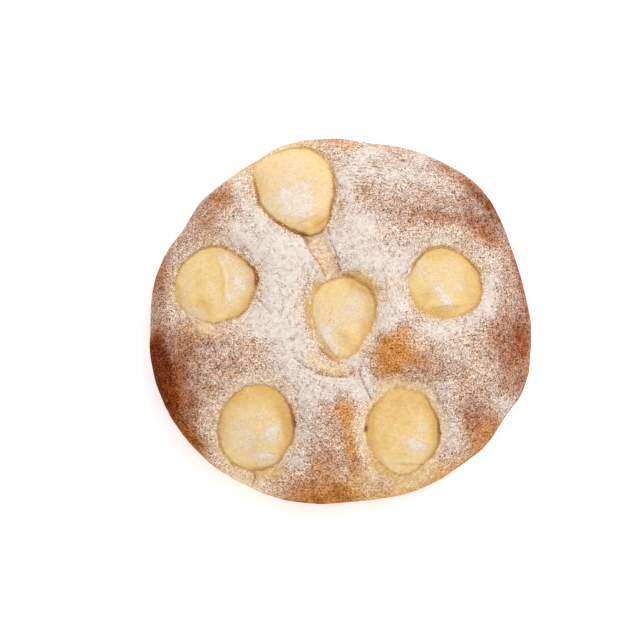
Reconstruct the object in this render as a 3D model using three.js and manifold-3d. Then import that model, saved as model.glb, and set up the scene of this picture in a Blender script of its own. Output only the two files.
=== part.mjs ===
// A cream cheese brioche: a flat, round, soft-baked bun with six hollows pressed into its top,
// each filled with a baked pool of cream cheese.
// Millimetres, +Z up. The origin is on the underside, below the middle of the bun. +Y is its back edge.

import * as THREE from "three";
import { mergeVertices } from "three/addons/utils/BufferGeometryUtils.js";
import Module from "manifold-3d";

// The bun: a flat base, a bulging side and a low top that turns over squarely at the shoulder.
const BUN_RADIUS = 78.5;
const BUN_HEIGHT = 33;
const WAIST_HEIGHT = 13;
const BASE_SHARE = 0.86;
const SHOULDER_POWER = 3;
const BUN_SECTORS = 90;
const TOP_RINGS = 33;
const SIDE_RINGS = 5;
const SHOULDER_STEPS = 400;

// Where the outline bulges or falls in, by angle from +X: half-width of the stretch in degrees, rise in mm.
const OUTLINE_LUMPS = [
  { angle: 44, width: 16, rise: 4.3 },
  { angle: 66, width: 9, rise: 0.9 },
  { angle: 81, width: 6, rise: -1 },
  { angle: 104, width: 12, rise: 0.9 },
  { angle: 127, width: 12, rise: -1.5 },
  { angle: 149, width: 7.5, rise: -2 },
  { angle: 181, width: 7, rise: -0.9 },
  { angle: 204, width: 34, rise: 2.8 },
  { angle: 275, width: 17, rise: -2.25 },
  { angle: 320, width: 9, rise: 1.8 },
  { angle: 340, width: 9, rise: 3.3 },
  { angle: 355, width: 11, rise: 2.1 },
];

// Soft swellings of the dough between the hollows: centre, radius and rise in mm.
const SWELLS = [
  { x: 24, y: -14, radius: 12, rise: 2.0 },
  { x: 2, y: -43, radius: 12, rise: 2.2 },
  { x: -4, y: -66, radius: 14, rise: 1.6 },
  { x: -56, y: -20, radius: 17, rise: 2.2 },
  { x: -45, y: 40, radius: 13, rise: 1.6 },
  { x: 36, y: 46, radius: 20, rise: 2.4 },
  { x: 62, y: -20, radius: 17, rise: 2.0 },
  { x: -24, y: 18, radius: 13, rise: 1.0 },
  { x: 10, y: 31, radius: 13, rise: 1.4 },
];
const SWELL_FADE_POWER = 6;

// The pools of cream. Each outline is an egg: tip is the direction of its narrow end, taper how narrow
// that end is, and lobes are slight corners round it. Bulges are where the outline stands out of the egg or
// falls in: degrees round it from the tip, half-width in degrees, rise as a share of its size. Crown is the
// rise of its middle in mm. Petals are low folds left on top where the cream was drawn off: a gentle slope on
// one side and a steep edge on the other, placed along and across the egg.
const POOLS = [
  {
    name: "cream_back",
    x: -17.7,
    y: 52.8,
    length: 41.5,
    width: 33.5,
    tip: -64,
    taper: 0.2,
    lobes: 3,
    lobeDepth: 0.015,
    bulges: [
      { turn: 45, width: 22, rise: -0.09 },
      { turn: 205, width: 18, rise: 0.07 },
      { turn: 245, width: 20, rise: -0.08 },
    ],
    crown: 3.0,
    petals: [{ along: 13.6, across: -1.4, turn: 89, reach: 5.5, gentle: 6, steep: 1.6, rise: 0.7 }],
  },
  {
    name: "cream_left",
    x: -51.0,
    y: 12.9,
    length: 35.5,
    width: 33,
    tip: 20,
    taper: 0.03,
    lobes: 4,
    lobeDepth: 0.01,
    bulges: [
      { turn: 15, width: 16, rise: -0.1 },
      { turn: 42, width: 18, rise: -0.09 },
      { turn: 290, width: 18, rise: 0.07 },
    ],
    crown: 2.0,
    petals: [{ along: 0.2, across: -1, turn: 78, reach: 12, gentle: 6, steep: 1.8, rise: 1.0 }],
  },
  {
    name: "cream_right",
    x: 43.9,
    y: 12.8,
    length: 31.5,
    width: 30.5,
    tip: -30,
    taper: 0.03,
    lobes: 5,
    lobeDepth: 0.02,
    bulges: [
      { turn: 75, width: 20, rise: -0.08 },
      { turn: 255, width: 18, rise: 0.07 },
    ],
    crown: 1.7,
    petals: [{ along: 3.4, across: -5.7, turn: 35, reach: 6, gentle: 6, steep: 1.6, rise: 0.9 }],
  },
  {
    name: "cream_centre",
    x: 1.4,
    y: -1.6,
    length: 34,
    width: 26.8,
    tip: -93,
    taper: 0.17,
    lobes: 3,
    lobeDepth: 0.02,
    bulges: [],
    crown: 2.0,
    petals: [
      { along: 10.7, across: -5.8, turn: 35, reach: 6.5, gentle: 2.6, steep: 1.4, rise: 0.8 },
      { along: 7.4, across: 0.8, turn: 70, reach: 3, gentle: 4, steep: 1.4, rise: 0.5 },
    ],
  },
  {
    name: "cream_front_left",
    x: -34.0,
    y: -46.4,
    length: 35.4,
    width: 32,
    tip: -104,
    taper: 0.02,
    lobes: 4,
    lobeDepth: 0.012,
    bulges: [
      { turn: 50, width: 16, rise: 0.04 },
      { turn: 310, width: 16, rise: 0.05 },
    ],
    crown: 1.2,
    petals: [
      { along: 1.4, across: 9.1, turn: -166, reach: 4, gentle: 4, steep: 1.2, rise: 0.6 },
      { along: 9.4, across: 6.0, turn: -81, reach: 4.5, gentle: 4, steep: 1.2, rise: 0.8 },
    ],
  },
  {
    name: "cream_front_right",
    x: 25.6,
    y: -48.0,
    length: 35,
    width: 31.2,
    tip: -92,
    taper: 0.07,
    lobes: 5,
    lobeDepth: 0.022,
    bulges: [
      { turn: 130, width: 18, rise: -0.07 },
      { turn: 225, width: 18, rise: -0.07 },
    ],
    crown: 1.3,
    petals: [{ along: 4.3, across: 6.5, turn: -113, reach: 4.5, gentle: 5, steep: 1.2, rise: 0.8 }],
  },
];
const POOL_SECTORS = 30;
const POOL_RINGS = 6;
const HOLLOW_RINGS = 3;
const FARTHEST_TAPER = 2;

// How a hollow is pressed in: the dough sinks round it, then drops to a rounded floor under the cream.
const SINK = 2.8;
const SINK_REACH = 0.55;
const SINK_LEFT_AT_RIM = 0.45;
const RIM_STARTS = 0.86;
const HOLLOW_DEPTH = 8;
const HOLLOW_WALL = 1.6;
const HOLLOW_POWER = 3;
const CLEARANCE = 0.3;
const CUTTER_TOP = 14;

// How the cream stands in its hollow.
const CREAM_EDGE_RISE = 0.1;
const CROWN_POWER = 2.4;
const CROWN_FULLNESS = 0.8;
const PETAL_FADE_POWER = 4;

// The shallow strip of stretched dough that runs from the back pool to the one in the middle.
const CHANNEL = {
  from: { x: -9.6, y: 33.5 },
  to: { x: -2.6, y: 13.0 },
  widthFrom: 9.5,
  widthTo: 6,
  depth: 1.3,
  flatShare: 0.55,
  lipShare: 1.15,
  runsPast: 0.25,
  runsIn: 0.1,
};

const MERGE_WITHIN = 0.001;

const bump = (distance, width) => Math.exp(-((distance / width) ** 2));

function easeIn(from, to, value) {
  return THREE.MathUtils.smoothstep(value, from, to);
}

// Half-width of the bun in one direction, at its waist.
function outlineRadius(angle) {
  let radius = BUN_RADIUS;
  for (const lump of OUTLINE_LUMPS) {
    const turn = THREE.MathUtils.radToDeg(angle) - lump.angle;
    const nearest = THREE.MathUtils.euclideanModulo(turn + 180, 360) - 180;
    radius += lump.rise * bump(nearest, lump.width);
  }
  return radius;
}

// How far out a place on the bun is: 0 in the middle, 1 at the waist.
function shareOut(x, y) {
  return Math.hypot(x, y) / outlineRadius(Math.atan2(y, x));
}

function domeHeight(share) {
  const rounded = Math.sqrt(Math.max(0, 1 - share ** SHOULDER_POWER));
  return WAIST_HEIGHT + (BUN_HEIGHT - WAIST_HEIGHT) * rounded;
}

function swellHeight(x, y, share) {
  const inside = Math.max(0, 1 - share ** SWELL_FADE_POWER);
  return SWELLS.reduce(
    (sum, swell) => sum + swell.rise * inside * bump(Math.hypot(x - swell.x, y - swell.y), swell.radius),
    0,
  );
}

// Full depth of the sink round a hollow. It grows shallow towards the rim, where little dough is left.
function sinkDepth(share) {
  return SINK * (1 - (1 - SINK_LEFT_AT_RIM) * easeIn(RIM_STARTS, 1, share));
}

// A place in a pool's own outline: along and across the egg in mm to plan x and y.
function poolToPlan(pool, along, across) {
  const tip = THREE.MathUtils.degToRad(pool.tip);
  return {
    x: pool.x + along * Math.cos(tip) - across * Math.sin(tip),
    y: pool.y + along * Math.sin(tip) + across * Math.cos(tip),
  };
}

// How much larger than its plain egg a pool is at a turn round it.
function lobeSize(pool, turn) {
  return pool.bulges.reduce((size, bulge) => {
    const off = THREE.MathUtils.radToDeg(turn) - bulge.turn;
    return size + bulge.rise * bump(THREE.MathUtils.euclideanModulo(off + 180, 360) - 180, bulge.width);
  }, 1 + pool.lobeDepth * Math.cos(pool.lobes * turn));
}

// The egg's point for a share of its size and a turn round it, made larger by a margin.
function eggPoint(pool, share, turn, margin) {
  const lobe = lobeSize(pool, turn);
  const forward = share * lobe * Math.cos(turn);
  return {
    along: (pool.length / 2 + margin) * forward,
    across: (pool.width / 2 + margin) * share * lobe * Math.sin(turn) * (1 - pool.taper * forward),
  };
}

// How far a place is from a pool's middle: 1 on its outline.
function poolShare(pool, x, y) {
  const tip = THREE.MathUtils.degToRad(pool.tip);
  const along = (x - pool.x) * Math.cos(tip) + (y - pool.y) * Math.sin(tip);
  const across = (y - pool.y) * Math.cos(tip) - (x - pool.x) * Math.sin(tip);
  const forward = along / (pool.length / 2);
  const narrowed = 1 - pool.taper * THREE.MathUtils.clamp(forward, -FARTHEST_TAPER, FARTHEST_TAPER);
  const sideways = across / ((pool.width / 2) * narrowed);
  return Math.hypot(forward, sideways) / lobeSize(pool, Math.atan2(sideways, forward));
}

function sinkHeight(x, y, share) {
  return POOLS.reduce((sum, pool) => {
    const near = 1 - easeIn(1, 1 + SINK_REACH, poolShare(pool, x, y));
    return sum - sinkDepth(share) * near;
  }, 0);
}

function channelHeight(x, y) {
  const runX = CHANNEL.to.x - CHANNEL.from.x;
  const runY = CHANNEL.to.y - CHANNEL.from.y;
  const run = Math.hypot(runX, runY);
  const along = ((x - CHANNEL.from.x) * runX + (y - CHANNEL.from.y) * runY) / run ** 2;
  const across = ((y - CHANNEL.from.y) * runX - (x - CHANNEL.from.x) * runY) / run;
  const starts = easeIn(-CHANNEL.runsPast, CHANNEL.runsIn, along);
  const stops = easeIn(-CHANNEL.runsPast, CHANNEL.runsIn, 1 - along);
  const half = THREE.MathUtils.lerp(CHANNEL.widthFrom, CHANNEL.widthTo, along) / 2;
  const inside = 1 - easeIn(CHANNEL.flatShare, CHANNEL.lipShare, Math.abs(across) / half);
  return -CHANNEL.depth * starts * stops * inside;
}

// What the top of the dough adds to the plain dome.
function doughRelief(x, y) {
  const share = shareOut(x, y);
  return swellHeight(x, y, share) + sinkHeight(x, y, share) + channelHeight(x, y);
}

// The level of the dough at a hollow's mouth, carried on across the hollow.
function mouthHeight(x, y) {
  const share = Math.min(shareOut(x, y), 1);
  return domeHeight(share) + swellHeight(x, y, share) - sinkDepth(share);
}

// Reads a geometry's points one by one and puts each where the given function says.
function warp(geometry, move) {
  const place = geometry.getAttribute("position");
  for (let i = 0; i < place.count; i += 1) {
    const moved = move(place.getX(i), place.getY(i), place.getZ(i));
    place.setXYZ(i, moved.x, moved.y, moved.z);
  }
  return geometry;
}

// A profile of (radius, height) points spun about +Z.
function spin(profile, sectors) {
  return new THREE.LatheGeometry(profile, sectors).rotateX(Math.PI / 2);
}

// The bun's profile, its radius as a share of the waist's: base, side and top, each ending on the next.
function bunProfile() {
  const base = [new THREE.Vector2(0, 0)];
  const side = [];
  for (let ring = 0; ring < SIDE_RINGS; ring += 1) {
    const turn = (Math.PI / 2) * (1 - ring / SIDE_RINGS);
    const share = BASE_SHARE + (1 - BASE_SHARE) * Math.cos(turn);
    side.push(new THREE.Vector2(share, WAIST_HEIGHT * (1 - Math.sin(turn))));
  }
  const shoulder = [];
  for (let step = 0; step <= SHOULDER_STEPS; step += 1) {
    const share = Math.sin((Math.PI / 2) * (1 - step / SHOULDER_STEPS));
    shoulder.push(new THREE.Vector2(share * BUN_RADIUS, domeHeight(share)));
  }
  const top = new THREE.SplineCurve(shoulder).getSpacedPoints(TOP_RINGS);
  top.forEach((point) => point.setX(point.x / BUN_RADIUS));
  top[0].set(1, WAIST_HEIGHT);
  top[TOP_RINGS].setX(0);
  return [...base, ...side, ...top];
}

function bunGeometry() {
  return warp(spin(bunProfile(), BUN_SECTORS), (unitX, unitY, height) => {
    const share = Math.hypot(unitX, unitY);
    const radius = outlineRadius(Math.atan2(unitY, unitX));
    const x = unitX * radius;
    const y = unitY * radius;
    if (height >= WAIST_HEIGHT) return { x, y, z: height + doughRelief(x, y) };
    const rim = share > 0 ? radius / share : 0;
    const waist = WAIST_HEIGHT + (share > 0 ? doughRelief(unitX * rim, unitY * rim) : 0);
    return { x, y, z: (height * waist) / WAIST_HEIGHT };
  });
}

// The underside of the cream and the floor of its hollow: depth below the mouth at a share of the outline.
const hollowDepth = (share) => HOLLOW_WALL + HOLLOW_DEPTH * (1 - share ** HOLLOW_POWER);

// How far the cream stands above the mouth: a rounded edge and a nearly level middle.
function crownHeight(pool, share) {
  const rounded = Math.max(0, 1 - share ** CROWN_POWER) ** CROWN_FULLNESS;
  return CREAM_EDGE_RISE + pool.crown * rounded;
}

function petalHeight(pool, along, across) {
  return pool.petals.reduce((sum, petal) => {
    const turn = THREE.MathUtils.degToRad(petal.turn);
    const ahead = (along - petal.along) * Math.cos(turn) + (across - petal.across) * Math.sin(turn);
    const aside = (across - petal.across) * Math.cos(turn) - (along - petal.along) * Math.sin(turn);
    return sum + petal.rise * bump(ahead, petal.reach) * bump(aside, aside > 0 ? petal.gentle : petal.steep);
  }, 0);
}

// The floor rings shared by the cream and the cutter of its hollow, from the middle out.
function floorProfile(sunkBy) {
  const rings = [];
  for (let ring = 0; ring <= HOLLOW_RINGS; ring += 1) {
    const share = Math.sqrt(ring / HOLLOW_RINGS);
    rings.push(new THREE.Vector2(share, -hollowDepth(share) - sunkBy));
  }
  return rings;
}

function creamGeometry(pool) {
  const profile = floorProfile(0);
  for (let ring = 0; ring <= POOL_RINGS; ring += 1) {
    const share = Math.cos(((Math.PI / 2) * ring) / POOL_RINGS);
    profile.push(new THREE.Vector2(ring === POOL_RINGS ? 0 : share, crownHeight(pool, share)));
  }
  return warp(spin(profile, POOL_SECTORS), (unitX, unitY, height) => {
    const share = Math.hypot(unitX, unitY);
    const egg = eggPoint(pool, share, Math.atan2(unitY, unitX), 0);
    const { x, y } = poolToPlan(pool, egg.along, egg.across);
    const inside = height > 0 ? 1 - share ** PETAL_FADE_POWER : 0;
    const petals = inside * petalHeight(pool, egg.along, egg.across);
    return { x, y, z: mouthHeight(x, y) + height + petals };
  });
}

function hollowCutter(pool) {
  const profile = floorProfile(CLEARANCE);
  profile.push(new THREE.Vector2(1, CUTTER_TOP), new THREE.Vector2(0, CUTTER_TOP));
  return warp(spin(profile, POOL_SECTORS), (unitX, unitY, height) => {
    const egg = eggPoint(pool, Math.hypot(unitX, unitY), Math.atan2(unitY, unitX), CLEARANCE);
    const { x, y } = poolToPlan(pool, egg.along, egg.across);
    return { x, y, z: mouthHeight(x, y) + height };
  });
}

const wasm = await Module();
wasm.setup();

function toSolid(geometry) {
  const bare = geometry.clone();
  bare.deleteAttribute("normal");
  bare.deleteAttribute("uv");
  const merged = mergeVertices(bare, MERGE_WITHIN);
  return new wasm.Manifold(
    new wasm.Mesh({
      numProp: 3,
      vertProperties: merged.getAttribute("position").array,
      triVerts: new Uint32Array(merged.index.array),
    }),
  );
}

function toGeometry(solid) {
  const made = solid.getMesh();
  const geometry = new THREE.BufferGeometry();
  geometry.setAttribute("position", new THREE.BufferAttribute(made.vertProperties, made.numProp));
  geometry.setIndex(new THREE.BufferAttribute(made.triVerts, 1));
  geometry.computeVertexNormals();
  return geometry;
}

function doughGeometry() {
  const bun = toSolid(bunGeometry());
  return toGeometry(POOLS.reduce((solid, pool) => solid.subtract(toSolid(hollowCutter(pool))), bun));
}

const crust = new THREE.MeshStandardMaterial({ color: 0xc98f5a, roughness: 0.7, metalness: 0 });
const cream = new THREE.MeshStandardMaterial({ color: 0xeecb86, roughness: 0.5, metalness: 0 });

function namedMesh(name, geometry, material) {
  const mesh = new THREE.Mesh(geometry, material);
  mesh.name = name;
  return mesh;
}

const brioche = new THREE.Group();
brioche.name = "cream_cheese_brioche";
brioche.add(namedMesh("dough", doughGeometry(), crust));
for (const pool of POOLS) {
  brioche.add(namedMesh(pool.name, creamGeometry(pool), cream));
}

export default brioche;
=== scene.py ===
import itertools
import math
from dataclasses import dataclass

import bpy
import numpy as np
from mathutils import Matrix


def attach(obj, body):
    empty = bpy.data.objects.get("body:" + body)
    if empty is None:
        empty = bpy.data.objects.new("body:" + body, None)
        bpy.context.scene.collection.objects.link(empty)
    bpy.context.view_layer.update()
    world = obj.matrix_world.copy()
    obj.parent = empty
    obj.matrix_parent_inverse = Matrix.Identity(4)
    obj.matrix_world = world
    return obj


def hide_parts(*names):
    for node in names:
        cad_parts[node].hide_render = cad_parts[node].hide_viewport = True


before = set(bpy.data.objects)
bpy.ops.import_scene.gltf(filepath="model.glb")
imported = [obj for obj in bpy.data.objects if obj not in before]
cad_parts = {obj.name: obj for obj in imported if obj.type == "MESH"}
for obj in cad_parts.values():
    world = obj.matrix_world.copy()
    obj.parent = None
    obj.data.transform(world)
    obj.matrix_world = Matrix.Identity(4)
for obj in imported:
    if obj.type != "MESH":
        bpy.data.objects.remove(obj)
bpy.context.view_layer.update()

MM = 0.001
TINY = 1e-6
BODY = "root"

# The bun in millimetres, as its solid has it.
BUN_RADIUS = 78.5
BUN_HEIGHT = 33.0
WAIST_HEIGHT = 13.0
BASE_SHARE = 0.86
SHOULDER_POWER = 3

# Where the outline bulges or falls in: angle from +X and half-width in degrees, rise in millimetres.
OUTLINE_LUMPS = (
    (44, 16, 4.3),
    (66, 9, 0.9),
    (81, 6, -1),
    (104, 12, 0.9),
    (127, 12, -1.5),
    (149, 7.5, -2),
    (181, 7, -0.9),
    (204, 34, 2.8),
    (275, 17, -2.25),
    (320, 9, 1.8),
    (340, 9, 3.3),
    (355, 11, 2.1),
)

# Soft swellings between the hollows: x, y, radius, rise.
SWELLS = (
    (24, -14, 12, 2.0),
    (2, -43, 12, 2.2),
    (-4, -66, 14, 1.6),
    (-56, -20, 17, 2.2),
    (-45, 40, 13, 1.6),
    (36, 46, 20, 2.4),
    (62, -20, 17, 2.0),
    (-24, 18, 13, 1.0),
    (10, 31, 13, 1.4),
)
SWELL_FADE_POWER = 6


@dataclass
class Fold:
    """A low fold in the top of a pool, at a place along and across the pool's egg. Its edge runs as turned,
    for its reach either way, bent by its bow. One side is gentle and one steep, and sugar lies on the
    gentle one."""

    along: float
    across: float
    turn: float
    reach: float
    gentle: float
    steep: float
    rise: float
    bow: float
    sugar: float


@dataclass
class Pool:
    """One pool of cream. Its outline is an egg: tip is the direction of the narrow end, taper how narrow
    that end is, lobes are slight corners, waves the phase of finer unevenness. Bulges stand out of the egg
    or fall in: degrees round it from the tip, half-width, share of its size. Gaps are where the dough stands
    off the cream: angle from +X, spread in degrees, width in millimetres and how brown the gap is. Halo is
    how pale and yellow the dough round it stayed."""

    name: str
    x: float
    y: float
    length: float
    width: float
    tip: float
    taper: float
    lobes: int
    lobe_depth: float
    crown: float
    halo: float
    waves: float
    bulges: tuple
    folds: tuple
    gaps: tuple


POOLS = (
    Pool(
        "cream_back", -17.7, 52.8, 41.5, 33.5, -64, 0.20, 3, 0.015, crown=3.0, halo=0.45, waves=0.3,
        bulges=((45, 22, -0.09), (205, 18, 0.07), (245, 20, -0.08)),
        folds=(Fold(13.6, -1.4, 89, 5.5, 6, 1.6, 0.7, 0, 0.2),),
        gaps=(
            (188, 30, 0.25, 0.85), (245, 24, 0.7, 1.0), (274, 10, 0.8, 1.0),
            (342, 30, 0.5, 0.7), (48, 22, 1.8, 0.25), (138, 18, -0.2, -0.5),
        ),
    ),
    Pool(
        "cream_left", -51.4, 12.9, 34.6, 32.6, 20, 0.03, 4, 0.010, crown=2.0, halo=0.5, waves=1.9,
        bulges=((15, 16, -0.10), (42, 18, -0.09), (290, 18, 0.07)),
        folds=(Fold(3.7, 1.1, 80, 11, 6, 1.2, 1.2, -0.02, -0.9),),
        gaps=(
            (2, 7, 0.8, 1.0), (18, 18, 0.3, 1.0), (112, 26, 0.1, 0.5),
            (325, 22, 0.3, 0.6), (222, 30, -0.2, -0.3),
        ),
    ),
    Pool(
        "cream_right", 43.6, 12.7, 30.8, 29.9, -30, 0.03, 5, 0.020, crown=1.7, halo=0.6, waves=4.1,
        bulges=((75, 20, -0.08), (255, 18, 0.07)),
        folds=(Fold(4.9, -8.3, 35, 6, 6, 1.6, 0.9, 0, 0.1),),
        gaps=(
            (125, 34, 0.2, 0.7), (35, 24, 0.15, 0.75), (350, 30, 0.1, 0.5),
            (260, 40, -0.1, 0.0), (200, 25, 0.0, 0.1),
        ),
    ),
    Pool(
        "cream_centre", 1.3, -1.8, 33.6, 25.4, -93, 0.17, 3, 0.020, crown=2.0, halo=0.9, waves=5.2,
        bulges=(),
        folds=(
            Fold(10.7, -5.8, 35, 6.5, 2.6, 1.4, 0.8, 0, 0.6),
            Fold(7.4, 0.8, 70, 3, 4, 1.4, 0.5, 0, -0.4),
        ),
        gaps=(
            (168, 30, 0.4, 0.3), (226, 16, 0.5, 0.4), (254, 9, 0.9, 0.3),
            (52, 28, 0.4, 0.75), (8, 26, 0.2, 0.6), (342, 20, 0.15, 0.5), (312, 24, -0.2, 0.0),
        ),
    ),
    Pool(
        "cream_front_left", -34.3, -46.6, 34.4, 30.6, -104, 0.02, 4, 0.012, crown=1.2, halo=0.75, waves=2.6,
        bulges=((50, 16, 0.04), (310, 16, 0.05)),
        folds=(
            Fold(1.4, 9.1, -166, 4, 4, 1.2, 0.6, 0, 0.4),
            Fold(9.4, 6.0, -81, 4.5, 4, 1.2, 0.8, 0, 0.4),
        ),
        gaps=(
            (6, 5, 0.5, 1.0), (18, 38, 0.2, 0.9), (130, 24, 0.1, 0.55),
            (190, 28, 0.2, 0.6), (280, 30, 0.3, 0.65),
        ),
    ),
    Pool(
        "cream_front_right", 25.4, -48.0, 34.6, 30.0, -92, 0.07, 5, 0.022, crown=1.3, halo=1.1, waves=0.9,
        bulges=((130, 18, -0.07), (225, 18, -0.07)),
        folds=(
            Fold(4.3, 6.5, -113, 4.5, 5, 1.2, 0.8, 0, 0.3),
            Fold(12.6, 1.0, 92, 6, 1.2, 1.0, 0.25, 0, 0.0),
        ),
        gaps=(
            (8, 46, 0.25, 0.9), (165, 26, 0.25, 0.6), (178, 5, 0.6, 0.9),
            (250, 14, 0.2, 0.5), (90, 25, -0.1, 0.1),
        ),
    ),
)

# Waves round every pool's outline: how many, and how deep as a share of its size.
WAVES = ((6, 0.005), (9, 0.006), (14, 0.005), (23, 0.004))
FARTHEST_TAPER = 2

# The sink of the dough towards the pools: its depth, its reach as a share of the pool, and how much of it
# is left at the rim.
SINK = 2.8
SINK_REACH = 0.55
SINK_LEFT_AT_RIM = 0.45
RIM_STARTS = 0.86

# The gap between dough and cream, and the groove in it. Ripples, tears and blotches have a size and a seed.
LEAST_GAP = 0.25
GAP_RIPPLES = (2.2, 71)
GAP_ROUGHNESS = 0.3
GAP_TEARS = (4.5, 72)
LEAST_BROWN = 0.42
GAP_BLOTCHINESS = 0.15
GAP_BLOTCHES = (5, 73)
GROOVE_DRAWN_IN = 0.2
GROOVE_DEPTH = 0.15
GROOVE_DEPTH_IF_BROWN = 0.12
GROOVE_RUNS_IN = 0.1
GROOVE_RUNS_OUT = 0.6
GROOVE_FIELD = (-2, 5)

# The hollow's wall and floor in the dough, and the lip round it, in millimetres.
WALL_STARTS = 0.7
WALL_RUN = 1.0
WALL_DROP = 2.2
FLOOR_STARTS = 1.5
FLOOR_RUN = 2.5
FLOOR_DROP = 4.0
LIP_RISE = 0.25
LIP_WIDTH = 1.0

# The form of the cream: its crown, lumps and folds, and the floor that it has under the dough.
CREAM_EDGE_DROP = 0.4
CROWN_POWER = 2.4
CROWN_FULLNESS = 0.85
CREAM_LUMPS = ((0.18, 6, 61), (0.07, 2.2, 62))
LUMPS_FADE_POWER = 6
FOLD_FADE_POWER = 4
FOLD_EDGE = 0.3
FOLD_FOOT = 0.55
HOLLOW_DEPTH = 8.0
HOLLOW_WALL = 1.6
HOLLOW_POWER = 3

# How much deeper its yellow is at the foot of a fold, along its edge, and on the side away from the light:
# painted shade, except along the edge, which is partly the edge's own deeper yellow and partly painted shade
# under the lip.
FOLD_FOOT_SHADE = 0.9
EDGE_DEPTH_AND_SHADE = 0.3
EDGE_WIDTH = 2.6
PAINTED_SHADE_SIDE = 12
PAINTED_SHADE_SIDE_DEPTH = 0.65
PAINTED_SHADE_SIDE_WIDTH = 6.0
CREAM_DEPTH_LUMPS = ((0.12, 7, 65),)

# The brown stain on the cream beside a gap, and how brown the listed patches of stain and painted shade are.
STAIN = 1.1
STAIN_STARTS = 0.1
STAIN_RUN = 0.6
STAIN_RUN_IF_BROWN = 0.8
PATCH_STAIN_BROWN = 0.6
PATCH_STAIN_FULL = 0.15

# The strip of stretched dough between the back pool and the one in the middle.
CHANNEL_FROM = (-11.4, 33.5)
CHANNEL_TO = (-2.0, 13.0)
CHANNEL_WIDTHS = (11.2, 7.6)
CHANNEL_DEPTH = 1.3
CHANNEL_FLAT_SHARE = 0.55
CHANNEL_LIP_SHARE = 1.15
CHANNEL_RUNS_PAST = 0.25
CHANNEL_RUNS_IN = 0.1
CHANNEL_GOLDEN = 0.85
CHANNEL_BARENESS = 0.38
CHANNEL_EDGE = (0.25, 0.75)

# The pale dough round the pools: how wide and how ragged the band is, and how much of its sugar is gone.
HALO_WIDTH = 5.0
HALO_RAGGEDNESS = 0.45
HALO_LUMP_SIZE = 5
HALO_SEED = 20
HALO_BARENESS = 0.5

# The crust's unevenness: how high, the size of the lumps and the seed. It fades out at the base, the creases
# and wrinkles at the rim, and the hollows just inside it.
CRUST_LUMPS = ((0.40, 16, 31), (0.16, 5, 32), (0.08, 2, 34))
BASE_FADE = (0, 4)
CREASES_FADE = (0.93, 1.0)
HOLLOWS_FADE = (0.975, 1.0)

# Wrinkles round every pool, and how far from its edge they come and go.
WRINKLE_RISE = 0.22
WRINKLE_WIDTH = 1.5
WRINKLE_LENGTH = 5
WRINKLE_SEED = 40
WRINKLES_COME = (0.5, 2)
WRINKLES_GO = (5, 12)

# Fans of fine wrinkles: the centre that they run round, then the patch that they cover.
WRINKLE_FANS = (
    ((8, 30), (13, 59, 13, 9, -20, 1.0)),
    ((1.4, -1.6), (-22, 5, 8, 14, 0, 0.3)),
    ((43.9, 12.8), (24, 10, 6, 12, 0, 0.6)),
    ((-17.7, 52.8), (2, 46, 5, 12, 10, 0.5)),
    ((1.4, -1.6), (-6, -30, 14, 6, 0, 0.5)),
    ((-51, 12.9), (-30, 30, 8, 8, 0, 0.4)),
    ((60, -60), (50, -12, 16, 8, 0, 0.4)),
)

# Creases and cracks in the dough: the points of each line, then its width, depth and darkness.
CREASES = (
    (((-14.3, 29.4), (-11.8, 24.5), (-8.4, 19.9), (-6.2, 15.8)), 0.5, 0.5, 0.55),
    (((-4.9, 35.2), (-3.7, 29.3), (-1.2, 22.2), (-0.2, 18.3)), 0.55, 0.5, 0.75),
    (((-12.3, 19.6), (-10.9, 17.7), (-9.4, 15.9)), 0.45, 0.35, 0.4),
    (((-18.7, -19.0), (-14.5, -22.6), (-11.0, -24.6)), 0.4, 0.5, 0.40),
    (((-9.5, -25.4), (-3.0, -26.8), (2.5, -26.6), (5.0, -25.0)), 0.7, 0.7, 0.50),
    (((-15.6, 32.6), (-14.4, 31.6), (-12.8, 30.4)), 0.9, 0.4, 0.9),
    (((7.5, -23.9), (8.6, -28.3), (10.4, -31.9), (12.2, -35.1)), 0.5, 0.6, 0.65),
    (((12.6, -23.9), (14.8, -27.4), (16.2, -30.1)), 0.4, 0.35, 0.35),
    (((-35.0, -64.7), (-34.6, -66.5), (-35.7, -69.0)), 0.5, 0.6, 0.6),
    (((-20.9, 11.0), (-19.9, 9.6), (-19.3, 8.1)), 0.35, 0.35, 0.5),
    (((-23.4, 4.4), (-23.6, 2.2)), 0.45, 0.4, 0.75),
    (((-23.4, 1.3), (-23.7, 0.6)), 0.5, 0.4, 0.75),
    (((-29.2, 0.5), (-28.4, -0.7)), 0.4, 0.35, 0.5),
    (((-24.6, 9.3), (-24.3, 7.6)), 0.4, 0.35, 0.5),
    (((-18.8, 2.8), (-18.6, 0.6)), 0.35, 0.3, 0.35),
    (((-20.8, -4.1), (-20.6, -5.6)), 0.4, 0.3, 0.45),
    (((-32.4, 8.8), (-32.2, 6.9)), 0.4, 0.35, 0.55),
    (((-33.7, 5.9), (-31.5, 3.2), (-28.5, -0.2)), 0.4, 0.4, 0.5),
    (((1.7, 15.8), (3.4, 15.5), (5.3, 14.6)), 1.3, 0.4, 0.85),
    (((-7.8, -15.2), (-4.4, -18.6), (-1.2, -20.0)), 0.8, 0.4, 0.70),
    (((-4.9, 61.6), (-1.7, 57.6), (-0.4, 54.9), (2.2, 53.6)), 0.5, 0.4, 0.5),
    (((-1.3, 54.9), (1.3, 52.7), (6.6, 51.8)), 0.4, 0.4, 0.4),
    (((17.4, 18.5), (18.5, 13.5), (19.1, 8.8)), 0.4, 0.4, 0.45),
    (((24.1, 13.6), (25.4, 15.2), (27.3, 16.8)), 0.35, 0.35, 0.45),
    (((22.5, 1.5), (22.1, -1.4), (23.7, -3.0)), 0.4, 0.4, 0.5),
    (((21.6, 13.6), (22.9, 9.7)), 0.35, 0.3, 0.35),
    (((24.9, 10.4), (25.3, 8.5)), 0.35, 0.3, 0.4),
    (((28.3, 21.8), (31.5, 24.7)), 0.45, 0.4, 0.6),
)

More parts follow.
